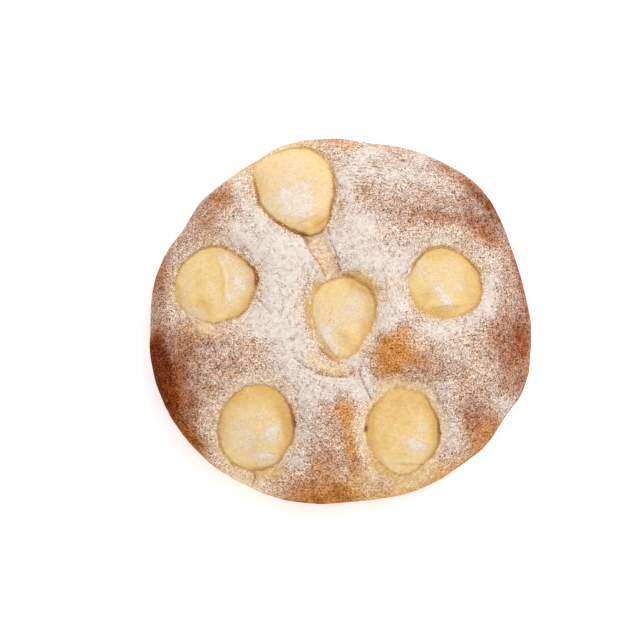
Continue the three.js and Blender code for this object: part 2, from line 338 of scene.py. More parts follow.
# How the creases wander, how uneven they and their lips are, and how far off they still darken the dough.
CREASE_STEP = 0.3
CREASE_REACH = 4.0
CREASE_WANDER = 0.2
CREASE_WANDER_SIZE = 1.6
CREASE_WANDER_SEEDS = (81, 82)
CREASE_END = 2
CREASE_UNEVENNESS = 0.5
CREASE_LUMPS = (2.5, 83)
CREASE_LIP_SHARE = 0.4
CREASE_LIP_OFF = 2.5
CREASE_LIP_WIDTH = 1.5
CREASE_DARK_REACH = (0.7, 1.2)
CREASE_FIELD = 5
FAR_OFF = 100.0

# How thick the icing sugar lies over the dough, 1 where it hides it and below 0 where it is bare: a dusting,
# then drifts that add to it and bare patches that take from it. It stays on where the dough faces up, above
# the waist. Each patch: x, y, half-width, half-height, turn in degrees, amount.
LEAST_SUGAR = -0.5
MOST_SUGAR = 1.1
SUGAR_EVERYWHERE = 0.5
SUGAR_LUMPS = ((0.10, 11, 11), (0.08, 3.5, 12))
SUGAR_THICKNESS = 0.12
SUGAR_CLUMPS = (1.1, 33)
SUGAR_STAYS_ON = (0.05, 0.4)
SUGAR_LINE_SPREAD = 2
NO_SPECKS = -0.3
SUGAR_PATCHES = (
    # Round the back pool.
    (12, 64, 5, 4, 0, -0.12),
    (16, 64, 6, 3, 0, -0.12),
    (9, 63, 7, 5, 0, 0.35),
    (19, 60, 9, 5, -15, 0.18),
    (2, 58, 4, 5, 0, 0.20),
    (4, 57, 2.5, 3, 0, -0.08),
    (22, 56, 10, 5, 0, 0.14),
    (2, 55, 5, 9, 0, 0.30),
    (12, 52, 6, 6, 0, -0.10),
    (-40, 48, 5, 3, 0, 0.10),
    (0.5, 46, 2, 5, 0, -0.12),
    (3, 46, 4, 6, 0, 0.25),
    (-33, 41, 8, 4, -40, 0.55),
    (10, 36, 8, 6, 0, 0.25),
    (-20, 34.5, 3, 2, -30, -0.12),
    (4, 33, 3, 4, 0, -0.10),
    (-28, 32, 4, 3, 0, 0.10),
    (-20, 32, 4, 3, 0, -0.10),
    (-3, 31, 2, 3, 0, 0.25),
    (-20, 29, 13, 9, 0, 0.50),
    # Round the left pool.
    (-42, 36, 7, 4, -10, 0.45),
    (-50, 35, 11, 5, 0, -0.08),
    (-44, 32, 4, 3, 0, 0.12),
    (-36, 32, 3, 3, 0, -0.10),
    (-36, 32, 5, 4, 0, -0.12),
    (-36, 31, 7, 4, 20, 0.30),
    (-43, 30, 6, 3, 0, 0.25),
    (-34, 27, 4, 4, 0, 0.20),
    (-35, 24, 3, 4, 0, 0.25),
    (-25, 13, 9, 13, 0, 0.55),
    (-36, 0, 5, 4, 0, 0.15),
    (-55, -6, 6, 3, -20, -0.25),
    (-60, -8, 5, 4, 0, -0.12),
    (-44, -8, 5, 4, 0, 0.12),
    (-63, -11, 9, 6, 0, -0.22),
    (-48, -11, 14, 3, 0, -0.08),
    # Round the right pool.
    (37, 53, 9, 6, 0, -0.12),
    (38, 40, 13, 4, -10, -0.22),
    (44, 36, 9, 5, 0, -0.08),
    (42, 34, 12, 4, 0, 0.18),
    (44, 32, 6, 3, 0, 0.22),
    (57, 32, 6, 4, 0, -0.10),
    (42, 30.5, 8, 2.5, 0, 0.12),
    (56, 27, 5, 4, -45, 0.25),
    (29, 24, 4, 5, -30, 0.25),
    (57.5, 24, 3, 3, 0, 0.12),
    (27, 20, 3, 4, 0, 0.20),
    (60, 20, 4, 6, 0, -0.10),
    (28, 16.5, 2.5, 4, 0, 0.12),
    (28, 16, 2, 4, 0, 0.12),
    (28, 15, 3, 4, 0, 0.25),
    (62, 14, 4, 9, 0, 0.40),
    (22, 9, 6, 11, 0, 0.60),
    (60, 4, 4, 6, 15, 0.35),
    (61, 4, 4, 5, 0, 0.20),
    (27, 2, 4, 5, 0, 0.36),
    (60, 0, 4, 4, 0, 0.12),
    (53, -3.5, 4, 3, 40, 0.22),
    (39, -4.8, 5, 2, 0, 0.18),
    (44, -7, 16, 5, 0, 0.45),
    (52, -8, 4, 4, 0, -0.29),
    (64, -9, 8, 9, 0, -0.50),
    (53, -15, 10, 8, 0, 0.05),
    (36, -16, 4, 4, 0, -0.10),
    (43, -16, 9, 5, 0, 0.15),
    # Round the middle pool.
    (4, 27, 12, 13, 0, 0.40),
    (4, 26, 4, 8, 0, -0.12),
    (-12.6, 21, 1.6, 7, 30, 0.45),
    (-12.0, 20.5, 7, 1.4, -60, 0.45),
    (15, 18, 12, 7, 0, 0.40),
    (18, -2, 6, 5, 0, 0.40),
    (-25, -6, 13, 12, 0, 0.50),
    (20, -7, 4, 3, 0, 0.30),
    (26, -7, 4, 4, 0, -0.30),
    (13, -11, 3, 7, -20, 0.35),
    (21, -13, 7, 6, -35, -0.65),
    (-17, -17, 12, 7, 0, 0.40),
    (13.4, -18.2, 2.2, 3.6, -20, -0.26),
    (20, -19, 6, 5, 0, -0.52),
    (5.3, -19.8, 1.8, 2.0, 0, 0.70),
    (5.3, -20.2, 1.8, 1.8, 0, 0.35),
    (0.0, -20.8, 3.5, 0.8, 10, 0.35),
    (-6.0, -23.5, 8.0, 1.6, -12, -0.30),
    (-5.0, -28.2, 9.0, 1.4, -5, 0.30),
    (-5, -32, 14, 6, 0, 0.45),
    # Round the front left pool.
    (-29, -15, 7, 4, 0, -0.18),
    (-33, -17, 9, 4, 0, -0.12),
    (-45, -24, 5, 3, 0, -0.18),
    (-18, -24, 11, 3, 0, 0.20),
    (-34, -27, 15, 3, 0, 0.25),
    (-53, -31, 4, 4, 0, -0.12),
    (-44, -31, 4, 2.5, 0, 0.12),
    (-52, -32, 3, 3, 0, -0.10),
    (-20, -32, 3, 4, 0, 0.18),
    (-12, -47, 3.5, 3.5, 0, -0.14),
    (-14, -51, 6, 15, 0, 0.30),
    (-12, -56, 4, 5, 0, -0.16),
    (-7, -58, 8, 8, 0, -0.20),
    (-21, -58.5, 3, 3, 0, 0.15),
    (-19, -61, 4, 5, 0, 0.25),
    (-10, -63, 7, 4, 0, -0.15),
    # Round the front right pool.
    (27, -18, 4, 5, 0, 0.15),
    (29, -20, 9, 4, -30, -0.40),
    (39, -20, 9, 7, 0, -0.05),
    (20, -24, 5, 3, 0, -0.12),
    (20, -24, 6, 3, 0, -0.15),
    (28, -24, 4, 4, 0, 0.06),
    (56, -24, 7, 4, 0, 0.15),
    (19, -24.6, 6, 3, 0, -0.16),
    (12, -25, 5, 3, 0, -0.15),
    (10, -26, 5, 6, 0, 0.40),
    (26, -28, 9, 3, 0, -0.10),
    (41, -31, 5, 4, 0, 0.25),
    (4, -32, 6, 3, 0, 0.12),
    (12, -32, 3, 4, 0, 0.20),
    (9, -34, 4, 4, 0, 0.15),
    (-4, -40, 4, 4, 0, -0.12),
    (2, -40, 4, 8, 15, -0.44),
    (4, -40, 4, 4, 0, -0.06),
    (44, -40, 3, 4, 0, -0.10),
    (2.6, -46, 2.6, 7, 8, -0.14),
    (7.0, -47, 2.0, 3.5, 0, 0.22),
    (9, -47, 3, 12, 0, 0.30),
    (4, -48, 4, 4, 0, 0.12),
    (5, -57, 3, 9, 5, -0.40),
    (5.6, -59, 2.8, 7, 18, -0.16),
    (12, -61, 3, 6, 20, 0.15),
    (4, -64, 3, 4, 0, 0.12),
    (12, -64, 3, 4, 0, -0.12),
    # In the stretched strip.
    (-6.4, 30, 1.0, 3.0, 15, 0.35),
    (-5.0, 29.5, 1.2, 3.0, 15, 0.45),
    (-8.6, 25.5, 1.0, 6.0, 22, 0.25),
    (-7.2, 25.5, 1.5, 3.0, 20, 0.35),
    (-4.8, 25.5, 6, 1.2, -68, 0.45),
    (-9, 17, 4, 4, 0, 0.30),
    (-4, 16, 3, 2.5, 0, 0.30),
    (-4, 16, 3, 3, 0, 0.25),
    # Along the back rim.
    (0, 75, 8, 3, 0, -0.20),
    (-27, 72, 12, 4, 25, -0.35),
    (4, 72, 4, 3, 0, -0.10),
    (4, 72, 5, 3, 0, -0.10),
    (-29, 71, 5, 4, 0, 0.12),
    (-4, 71, 5, 4, 0, 0.25),
    (13, 70, 6, 4, 0, 0.40),
    (32, 67, 8, 4, -20, 0.20),
    (20, 64, 5, 4, 0, 0.12),
    (44, 64, 5, 4, 0, -0.12),
    (-41, 58, 6, 5, 30, 0.35),
    (35, 58, 12, 5, -20, 0.20),
    (45, 55, 5, 4, -35, 0.08),
    (38, 54, 10, 7, 0, 0.10),
    (-49, 52, 7, 6, 45, -0.32),
    (-43, 51, 4, 5, 0, 0.18),
    (-46, 48, 6, 7, 0, -0.08),
    # Along the left rim.
    (-52, 49, 5, 4, 0, -0.15),
    (-60, 44, 4, 4, 0, 0.12),
    (-59, 43, 5, 8, 45, -0.35),
    (-68, 32, 4, 4, 0, -0.12),
    (-68, 28, 4, 5, 0, 0.12),
    (-76, 20, 4, 12, 0, -0.45),
    (-70, 6.5, 2.5, 4, 0, 0.18),
    (-76, 4, 3, 7, 0, -0.10),
    (-68, 0, 4, 4, 0, 0.12),
    (-76, -16, 5, 11, 0, -0.80),
    (-66, -21, 8, 8, 0, -0.36),
    (-72, -31, 5, 12, 20, -0.65),
    (-64, -33, 8, 8, 20, -0.32),
    (-60, -37, 4, 5, 0, -0.18),
    (-56, -40, 6, 4, 0, -0.06),
    (-52, -48, 3, 4, 0, 0.12),
    (-62, -50, 5, 10, 40, -0.60),
    (-54, -50, 4, 13, 10, 0.12),
    # Along the right rim.
    (60, 52, 15, 5, -42, -0.48),
    (52, 47, 5, 5, 0, -0.20),
    (61, 47, 4, 6, -40, -0.06),
    (56, 44, 6, 5, 0, 0.08),
    (56, 40, 5, 5, 0, -0.20),
    (64, 40, 6, 8, 0, -0.15),
    (61, 34, 6, 5, -40, -0.40),
    (76, 20, 4, 18, 10, -0.40),
    (68, 10, 3, 10, 0, -0.08),
    (76, -4, 2.5, 7, 0, 0.08),
    (71, -8, 5, 8, 0, 0.06),
    (78, -8, 3, 14, 0, -0.12),
    (75, -9, 4, 6, 0, -0.12),
    (65, -12, 6, 7, 0, 0.15),
    (75, -13, 5, 19, 0, -0.38),
    (68, -16, 4, 5, 0, -0.10),
    (69, -18, 5, 6, 0, -0.18),
    (72, -20, 4, 12, 0, 0.06),
    (68, -29, 4, 6, 0, -0.15),
    (67, -37, 5, 5, 0, 0.35),
    (52, -41, 7, 7, 0, -0.20),
    (52, -46, 4, 7, 0, -0.20),
    (60, -48, 4, 4, 0, 0.08),
    (60, -48, 6, 12, -30, -0.40),
    (61, -48, 4, 5, -35, -0.12),
    # Along the front rim.
    (45, -49, 5, 14, 0, 0.35),
    (-57, -57, 6, 5, 45, -0.15),
    (45, -62, 6, 5, 30, -0.22),
    (-40, -64, 13, 4, -30, 0.35),
    (-30, -64, 8, 3, 0, -0.25),
    (-28, -64, 6, 3, 0, -0.20),
    (40, -64, 6, 3, 0, -0.08),
    (-36, -65, 4, 3, 0, 0.15),
    (32, -65, 6, 3, 20, -0.15),
    (40, -65, 6, 4, 0, -0.10),
    (9, -67, 5, 4, 0, -0.20),
    (40, -68, 8, 4, 30, -0.16),
    (31, -69, 19, 5, 15, -0.50),
    (30, -70, 7, 4, 20, -0.20),
    (4, -71, 5, 4, 0, -0.20),
    (4, -72, 4, 3, 0, -0.08),
    (12, -72, 4, 3, 0, 0.20),
    (-5, -73, 19, 6, 0, -0.52),
    (-6, -74, 16, 3, 0, -0.10),
    (20, -74, 8, 3, 10, -0.10),
)

# How brown the crust is baked, from 0 to 1: a general brown, more at the rim, and patches as above.
BROWN_EVERYWHERE = 0.66
BROWN_AT_RIM = 0.05
BROWN_RIM = (0.7, 0.98)
BROWN_LUMPS = ((0.07, 9, 13), (0.05, 3, 14))
UNDERSIDE_BROWN = 0.66
UNDERSIDE_LUMPS = ((0.12, 8, 51),)
BROWN_PATCHES = (
    # Round the left pool.
    (-50, 35, 12, 6, 0, -0.08),
    (-62, -18, 14, 16, 0, 0.10),
    # Round the right pool.
    (40, 48, 24, 15, 0, 0.10),
    (44, 36, 10, 6, 0, -0.08),
    # Round the middle pool.
    (22, -14, 12, 12, 0, -0.10),
    (23, -15, 7, 6, 0, -0.05),
    # Round the front left pool.
    (-14, -64, 8, 4, 0, -0.08),
    # Round the front right pool.
    (20, -23, 8, 5, 0, -0.06),
    (3, -38, 4, 5, 15, -0.08),
    (2, -39, 5, 6, 15, -0.08),
    (3, -47, 9, 16, 0, -0.08),
    (4, -52, 4, 13, 12, -0.10),
    # Along the back rim.
    (0, 77, 9, 3, 0, 0.12),
    (0, 74, 9, 4, 0, -0.25),
    (-24, 72, 14, 4, 20, -0.55),
    (13, 70, 9, 5, 0, -0.28),
    (-39, 61, 9, 5, 30, -0.38),
    (-46, 48, 8, 8, 0, -0.05),
    # Along the left rim.
    (-77, 9, 4, 10, 0, 0.04),
    (-76, -6, 4, 5, 0, -0.08),
    (-76, -18, 6, 14, 0, 0.30),
    (-71, -33, 6, 14, 20, 0.18),
    # Along the right rim.
    (62, 46, 12, 10, -50, 0.16),
    (77, 12, 4, 22, 0, 0.12),
    (71, -8, 5, 8, 0, 0.08),
    (68, -12, 12, 18, 0, 0.10),
    (60, -47, 4, 6, -35, -0.16),
    (56, -55, 6, 6, 0, -0.10),
    # Along the front rim.
    (53, -56, 5, 4, 40, -0.03),
    (-57, -57, 6, 5, 45, 0.06),
    (44, -63, 8, 6, 35, -0.22),
    (-40, -65, 16, 5, -30, -0.38),
    (8, -68, 6, 5, 0, -0.10),
    (40, -69, 8, 4, 30, 0.08),
    (-16, -72, 8, 4, 0, -0.10),
    (-5, -72, 26, 7, 0, -0.04),
    (28, -72, 21, 4, 15, -0.20),
    (-8, -73, 22, 5, 0, -0.06),
    (-5, -73, 14, 4, 0, 0.04),
    (12, -73, 9, 5, 0, -0.12),
    (20, -74, 8, 3, 10, 0.06),
)

# Dough that is golden and moist, as in the fold below the middle pool and at the back rim.
GOLDEN_LUMPS = ((0.25, 3.5, 12),)
GOLDEN_PATCHES = (
    # Round the left pool.
    (-55.5, -6, 9.5, 3.8, -12, 0.72),
    (-55, -6, 6, 3, -20, 0.2),
    # Round the right pool.
    (40, 32, 8, 3, 0, 0.30),
    (50, 31, 5, 3, -20, 0.35),
    (60, 21, 4, 7, 0, 0.30),
    (28, 8, 3, 5, 0, 0.4),
    # Round the middle pool.
    (5, 15, 6, 3, -10, 0.5),
    (12, 15, 4, 3, 0, 0.7),
    (11.5, 11, 5, 3, -45, 0.9),
    (20, 11, 5, 9, 0, 0.35),
    (21, 8, 4, 6, 0, 0.3),
    (-12.6, 0, 2.4, 9, 0, 0.55),
    (-12, -16, 3, 4, 0, 0.30),
    (-11.5, -18.5, 3, 3, 0, 0.8),
    (-7.3, -22.0, 6.0, 2.2, -20, 0.95),
    (-0.4, -23.8, 3.6, 2.0, 0, 0.95),
    (5, -24, 4, 2, 0, 0.5),
    # Round the front left pool.
    (-24, -24, 8, 3, 0, 0.25),
    (-35, -28, 10, 3, 0, 0.75),
    (-44, -32, 4, 4, -40, 0.30),
    (-22, -33, 4, 5, 30, 0.40),
    # Round the front right pool.
    (22, -29.8, 11, 3, 0, 0.95),
    (18, -31, 9, 3, 0, 0.3),
    (9.5, -49, 2.6, 8, 0, 0.45),
    (11.5, -55, 2.5, 5, 20, 0.65),
    (14, -58, 3, 6, 20, 0.6),
    (13, -63, 3, 5, 25, 0.6),
    # In the stretched strip.
    (-8.0, 26.0, 8, 2.6, -70, 0.45),
    # Along the back rim.
    (-26, 71, 12, 4, 25, 0.90),
    # Along the left rim.
    (-53, -42, 4, 10, 0, 0.5),
    # Along the front rim.
    (48, -56, 6, 4, 45, 0.30),
    (-29, -64.5, 8, 3.0, 5, 1.0),
    (20, -66, 11, 3, 0, 0.35),
    (33, -66, 9, 3, 30, 0.6),
    (8, -68, 6, 4, 0, 0.3),
    (-40, -69, 14, 5, -30, 0.80),
    (28, -70, 17, 4, 12, 0.55),
)

# Where dough has soaked up cream and baked to ochre.
OCHRE_PATCHES = (
    # Round the back pool.
    (-2.6, 60.0, 4.5, 0.9, -60, 0.5),
    (0.6, 46.0, 1.2, 4.0, 10, 0.50),
    # Round the middle pool.
    (3.8, 15.6, 2.0, 1.2, -15, 0.8),
    (10.0, 12.6, 6.0, 2.9, -38, 1.20),
    (-9.8, 11.2, 3.4, 1.4, 50, 0.95),
    (13.8, 6.0, 1.2, 4.0, 12, 0.4),
    (-13.4, 1.4, 1.2, 5.5, 5, 1.00),
    (-12.0, -6.0, 1.4, 4.0, 20, 0.65),
    (-6.0, -16.4, 5.2, 0.9, -42, 0.7),
    (-10.6, -18.6, 1.8, 3.2, 25, 0.4),
    (-0.2, -24.6, 2.6, 1.4, 0, 0.6),
    # Round the front left pool.
    (-18.6, -40.5, 1.5, 4.0, 10, 0.60),
    # Round the front right pool.
    (24.0, -30.2, 8.0, 1.6, 0, 0.50),
    (11.4, -40.0, 0.8, 6.0, 8, 0.5),
    (11.0, -56.0, 1.6, 4.0, 25, 0.35),
    (14.0, -60.5, 1.8, 4.0, 35, 0.75),
    (18.5, -63.2, 4.6, 0.9, -45, 0.6),
    # Along the front rim.
    (-43.0, -62.0, 4.0, 1.8, -40, 0.50),
    (-28.5, -64.6, 8.0, 2.4, 3, 0.52),
    (20.0, -65.4, 5.0, 1.6, -25, 0.60),
    (28.0, -66.3, 5.0, 1.8, 10, 0.75),
    (-36.0, -66.5, 5.0, 2.0, 0, 0.35),
)

# Sugar on the cream.
CREAM_SUGAR_EVERYWHERE = 0.10
MOST_CREAM_SUGAR = 1.3
CREAM_SUGAR_LUMPS = ((0.08, 5, 63), (0.05, 1.6, 64))
CREAM_SUGAR_STARTS = (0.3, 1.6)
CREAM_SUGAR_PATCHES = (
    # On the back pool.
    (-30.8, 58.3, 6.0, 6.0, 0, 0.20),
    (-17.2, 56.2, 8.0, 4.0, 0, 0.20),
    (-5.0, 55.0, 3.0, 8.0, 0, 0.30),
    (-17.5, 54.0, 16, 15, 0, 0.32),
    (-18.9, 51.4, 9.0, 7.0, 0, 0.40),
    (-13.1, 48.8, 4.5, 4.2, 0, 0.45),
    (-26.2, 48.4, 4.5, 2.2, 0, 0.30),
    (-23.0, 45.8, 5.0, 5.0, 0, 0.45),
    (-29.7, 44.5, 3.0, 0.9, -50, 0.50),
    (-16.0, 43.0, 7.0, 5.0, 0, 0.55),
    (-20.0, 40.0, 10.0, 4.0, 0, 0.20),
    # On the left pool.
    (-48.0, 24.0, 8.0, 4.0, 0, 0.30),
    (-50.0, 23.5, 7.0, 3.5, 0, 0.25),
    (-60.0, 22.0, 6.0, 5.0, 0, 0.12),
    (-43.5, 15.0, 6.0, 8.5, 0, 0.72),
    (-63.0, 13.5, 3.0, 3.6, 0, 0.35),
    (-41.5, 9.8, 4.5, 3.5, 0, 0.35),
    (-45.8, 6.3, 2.2, 3.2, 0, 0.70),
    (-66.0, 6.0, 4.0, 4.0, 0, 0.15),
    (-60.0, 0.5, 9.0, 3.6, -30, 0.65),
    # On the right pool.
    (34.0, 20.2, 5.0, 3.6, 35, 0.40),
    (43.0, 17.0, 10.0, 8.0, 0, 0.32),
    (48.7, 11.7, 2.4, 2.8, 0, 0.50),
    (41.5, 9.0, 8.0, 2.2, -50, 0.65),
    (43.4, 4.6, 5.0, 3.2, -15, 0.60),
    (50.5, 2.0, 3.0, 3.0, 0, 0.20),
    # On the middle pool.
    (4.0, 0.6, 7.0, 7.5, 0, 0.55),
    (-8.0, 0.5, 3.0, 7.0, 0, 0.22),
    (2.0, -4.0, 9.0, 14.0, 0, 0.18),
    (-2.0, -5.3, 5.0, 5.0, 0, 0.40),
    (-5.5, -10.0, 3.0, 5.0, 30, 0.35),
    (-4.6, -12.4, 7.0, 1.5, -58, 0.80),
    (-3.6, -15.6, 2.5, 2.5, 0, 0.35),
    # On the front left pool.
    (-36.3, -44.4, 10, 10, 0, 0.25),
    (-27.1, -49.0, 3.6, 4.4, 0, 0.95),
    (-39.9, -50.2, 8.0, 8.0, 0, 0.42),
    (-31.0, -58.1, 5.6, 2.4, 0, 0.60),
    # On the front right pool.
    (33.2, -46.0, 2.8, 3.6, 0, 0.45),
    (30.3, -53.4, 4.6, 3.4, -25, 0.95),
    (24.1, -60.4, 7.0, 1.1, 5, 0.35),
)

# Where the cream is a deeper yellow, or below 0 a paler one: partly its own colour, partly painted shade
# where the dough's lip shades its edges.
CREAM_DEPTH_AND_SHADE_PATCHES = (
    # On the back pool.
    (-19.1, 66.0, 13, 6.0, 0, -0.50),
    (-33.0, 54.0, 2.5, 7.0, 0, 0.40),
    (-5.0, 52.0, 3.0, 9.0, 0, -0.45),
    (-2.5, 46.0, 2.5, 6.0, 0, 0.40),
    (-6.0, 39.0, 5.0, 2.2, 42, 0.70),
    (-9.0, 38.9, 2.2, 3.0, 0, 0.60),
    (-13.1, 35.6, 5.0, 1.8, 25, 0.55),
    # On the left pool.
    (-48.0, 25.0, 9.0, 4.0, 0, 0.25),
    (-46.5, 25.0, 4.0, 2.2, -20, 0.60),
    (-48.6, 13.0, 0.9, 7.0, 10, 0.40),
    (-66.7, 11.5, 2.0, 3.0, 0, 0.45),
    (-53.0, 9.0, 3.0, 9.0, 15, -0.45),
    (-66.5, 7.0, 2.5, 4.0, 0, 0.50),
    (-55.5, 4.4, 3.0, 3.6, -30, 0.55),
    (-37.8, 3.9, 3.4, 5.0, 20, 0.60),
    (-64.0, 3.0, 4.0, 4.0, 0, 0.30),
    (-53.5, 0.4, 2.0, 3.4, 0, 0.35),
    (-43.6, -1.9, 4.5, 2.0, 20, 0.60),
    # On the right pool.
    (42.0, 24.5, 9.0, 3.4, 0, 0.45),
    (38.0, 24.0, 5.0, 2.5, 20, 0.35),
    (52.0, 12.0, 4.0, 8.0, 0, 0.40),
    (53.0, 11.0, 3.5, 7.0, 0, 0.30),
    (36.3, 7.6, 2.8, 2.4, 0, 0.45),
    (31.2, 3.4, 3.5, 2.4, -40, 0.55),
    (46.3, 2.1, 3.0, 2.3, 20, 0.60),
    (40.5, 0.0, 5.0, 2.6, 0, 0.35),
    (41.2, -0.2, 6.0, 2.0, -10, 0.70),
    # On the middle pool.
    (6.5, 10.6, 5.0, 2.2, -32, 0.70),
    (6.5, 9.0, 3.5, 3.0, 0, 0.45),
    (12.0, 4.0, 3.0, 8.0, 0, 0.40),
    (-10.0, -3.0, 2.5, 10.0, 0, -0.60),
    (11.2, -5.0, 2.2, 8.0, -5, 0.55),
    (11.2, -6.8, 3.4, 5.5, 20, 0.45),
    (1.8, -11.5, 2.6, 2.6, 0, 0.35),
    (5.8, -14.1, 2.8, 2.8, 0, 0.50),
    # On the front left pool.
    (-31.0, -32.8, 9.0, 4.6, 0, 0.60),
    (-42.5, -35.0, 3.0, 3.0, 0, 0.45),
    (-40.0, -35.0, 6.0, 5.0, 0, 0.35),
    (-25.0, -38.1, 4.0, 4.0, 0, 0.55),
    (-46.0, -38.5, 3.5, 5.0, 0, 0.30),
    (-21.0, -41.0, 4.0, 5.0, 0, 0.40),
    (-21.5, -43.1, 2.6, 5.4, 0, 0.70),
    (-48.1, -45.9, 1.6, 4.4, 0, 0.50),
    (-47.0, -47.0, 2.5, 9.0, 0, 0.28),
    (-22.1, -49.0, 2.6, 5.0, 0, 0.60),
    (-34.6, -52.6, 2.0, 2.6, 0, 0.35),
    (-23.6, -57.6, 2.0, 2.4, 0, 0.50),
    (-28.0, -61.3, 4.0, 1.5, 15, -0.50),
    (-34.0, -63.0, 9.0, 1.5, 0, 0.50),
    # On the front right pool.
    (24.0, -36.0, 10.0, 7.0, 0, 0.30),
    (25.8, -36.5, 9.0, 4.5, 0, 0.35),
    (14.0, -39.5, 3.0, 6.0, -35, 0.50),
    (36.5, -41.0, 3.0, 4.0, 0, 0.30),
    (20.0, -44.0, 14, 14, 0, 0.16),
    (12.0, -46.0, 1.6, 5.0, 0, 0.55),
    (12.5, -48.0, 2.5, 7.0, 0, 0.50),
    (37.0, -48.0, 2.6, 5.0, 0, 0.40),
    (14.0, -56.0, 3.0, 5.0, 20, 0.40),
    (23.5, -58.2, 2.8, 1.5, 0, 0.35),
    (20.0, -60.0, 8.0, 3.0, -20, -0.40),
    (30.0, -61.5, 5.0, 2.5, 30, -0.25),
    (28.0, -62.5, 6.0, 2.5, 10, 0.40),
    (24.4, -62.9, 5.0, 2.2, 0, -0.20),
)

# Where the cream has browned along its edge, and where its edge lies in shade, painted in the same brown.
CREAM_STAIN_AND_SHADE_PATCHES = (
    # On the back pool.
    (-6.3, 39.2, 5.5, 0.8, 42, 0.40),
    # On the left pool.
    (-39.5, 21.0, 3.0, 5.0, -45, 0.22),
    (-37.0, 15.0, 2.0, 7.0, 10, 0.30),
    # On the right pool.
    (57.0, 6.0, 2.0, 5.0, 0, 0.10),
    # On the middle pool.
    (7.6, 10.2, 5.5, 0.8, -32, 0.30),
    (7.5, 9.5, 3.0, 2.5, -35, 0.18),
    (12.0, 2.0, 2.0, 7.0, 10, 0.12),
    # On the front left pool.
    (-22.5, -38.0, 2.5, 5.0, -30, 0.15),
    (-20.5, -46.0, 1.8, 8.0, 0, 0.20),
)

# Most of the sugar on the cream has melted into it.
GRAINS_LEFT_ON_CREAM = 0.2
DUST_POWER = 1.4

# Kinds of grain: name, how many to the square metre, smallest and largest radius in millimetres, sides, seed.
GRAIN_KINDS = (
    ("icing_sugar_dust", 2.4e6, 0.10, 0.22, 3, 5),
    ("icing_sugar_grains", 1.1e6, 0.16, 0.34, 4, 6),
)
GRAIN_RINGS = 2
FLATTEST_GRAIN = (0.7, 0.7, 0.55)
FULLEST_GRAIN = (1.25, 1.25, 1.0)

# How fine the meshes are, and how far their points are drawn to the pools' rims and to the creases.
TOP_RINGS = 134
SIDE_RINGS = 16
BASE_RINGS = (0.97, 0.9, 0.6, 0.25)
SHOULDER_STEPS = 2000
RIM_DRAW = 0.5
RIM_DRAW_WIDTH = 0.4
RIM_DRAW_FADE = (0.9, 0.99)
CREASE_DRAW = 0.5
CREASE_DRAW_WIDTH = 1.4
CREAM_RINGS = 60
CREAM_SECTORS = 200
CREAM_FLOOR_RINGS = 8
NOISE_CELLS = 48
NOISE_SHIFT = 0.37

# The picture: the lens and sensor, how far off and how high the camera stands, and what it looks at.
LENS = 85
SENSOR = 36
CLIP_START = 0.01
CAMERA_ELEVATION = 80
CAMERA_DISTANCE = 634.7
CAMERA_TARGET = (-8.2, 0.0, 13.0)

# The room: its light, the lamp's place and power, and the floor.
WHITE = (1, 1, 1, 1)
ROOM_STRENGTH = 0.8
LAMP_AZIMUTH = 45
LAMP_ELEVATION = 48
LAMP_DISTANCE = 1.1
LAMP_SIZE = 0.9
LAMP_ENERGY = 4.6
FLOOR_HALF = 6000.0
FLOOR_GLOW = 0.4


def bump(distance, width):
    """A soft hump: 1 in the middle, falling away over the width."""
    return np.exp(-((distance / width) ** 2))


def arc_bump(degrees, at, spread):
    """The same hump round a circle."""
    return bump((degrees - at + 180) % 360 - 180, spread)


def ease(low, high, value):
    """0 below low, 1 above high, and smooth between."""
    part = np.clip((value - low) / (high - low), 0, 1)
    return part * part * (3 - 2 * part)


def lumps(points, size, seed):
    """Smooth noise from -1 to 1 in space, in lumps of about the given size."""
    lattice = np.random.default_rng(seed).uniform(-1, 1, (NOISE_CELLS,) * 3)
    cell = np.asarray(points) / size + NOISE_SHIFT
    low = np.floor(cell).astype(int)
    part = ease(0, 1, cell - low)
    total = np.zeros(len(cell))
    for corner in itertools.product((0, 1), repeat=3):
        at = (low + corner) % NOISE_CELLS
        weight = np.prod(np.where(corner, part, 1 - part), axis=1)
        total += weight * lattice[at[:, 0], at[:, 1], at[:, 2]]
    return total


def flat_lumps(x, y, size, seed):
    """The same noise over the plan."""
    return lumps(np.stack([x, y, np.zeros_like(x)], 1), size, seed)


def uneven(points, rows):
    """Several kinds of noise together: how much of each, the size of its lumps and its seed."""
    return sum(amount * lumps(points, size, seed) for amount, size, seed in rows)


def turned(x, y, degrees):
    """Offsets in x and y as offsets along and across a direction."""
    cos, sin = math.cos(math.radians(degrees)), math.sin(math.radians(degrees))
    return x * cos + y * sin, y * cos - x * sin


def patches(x, y, rows):
    """The sum of soft oval patches over the plan."""
    total = np.zeros_like(x)
    for at_x, at_y, half_width, half_height, turn, amount in rows:
        along, across = turned(x - at_x, y - at_y, turn)
        total += amount * bump(np.hypot(along / half_width, across / half_height), 1)
    return total


def outline_radius(angle):
    """Half-width of the bun at its waist, in one direction."""
    degrees = np.degrees(angle)
    radius = np.full_like(degrees, BUN_RADIUS)
    for at, spread, rise in OUTLINE_LUMPS:
        radius += rise * arc_bump(degrees, at, spread)
    return radius


def share_out(x, y):
    """How far out a place is: 0 in the middle of the bun, 1 at its waist."""
    return np.hypot(x, y) / outline_radius(np.arctan2(y, x))


def dome_height(share):
    rounded = np.sqrt(np.maximum(0, 1 - share**SHOULDER_POWER))
    return WAIST_HEIGHT + (BUN_HEIGHT - WAIST_HEIGHT) * rounded


def swell_height(x, y, share):
    inside = np.maximum(0, 1 - share**SWELL_FADE_POWER)
    total = np.zeros_like(x)
    for at_x, at_y, radius, rise in SWELLS:
        total += rise * inside * bump(np.hypot(x - at_x, y - at_y), radius)
    return total


def sink_depth(share):
    """How deep the dough sinks at a pool's edge. It is shallow at the rim, where little dough is left."""
    return SINK * (1 - (1 - SINK_LEFT_AT_RIM) * ease(RIM_STARTS, 1, share))


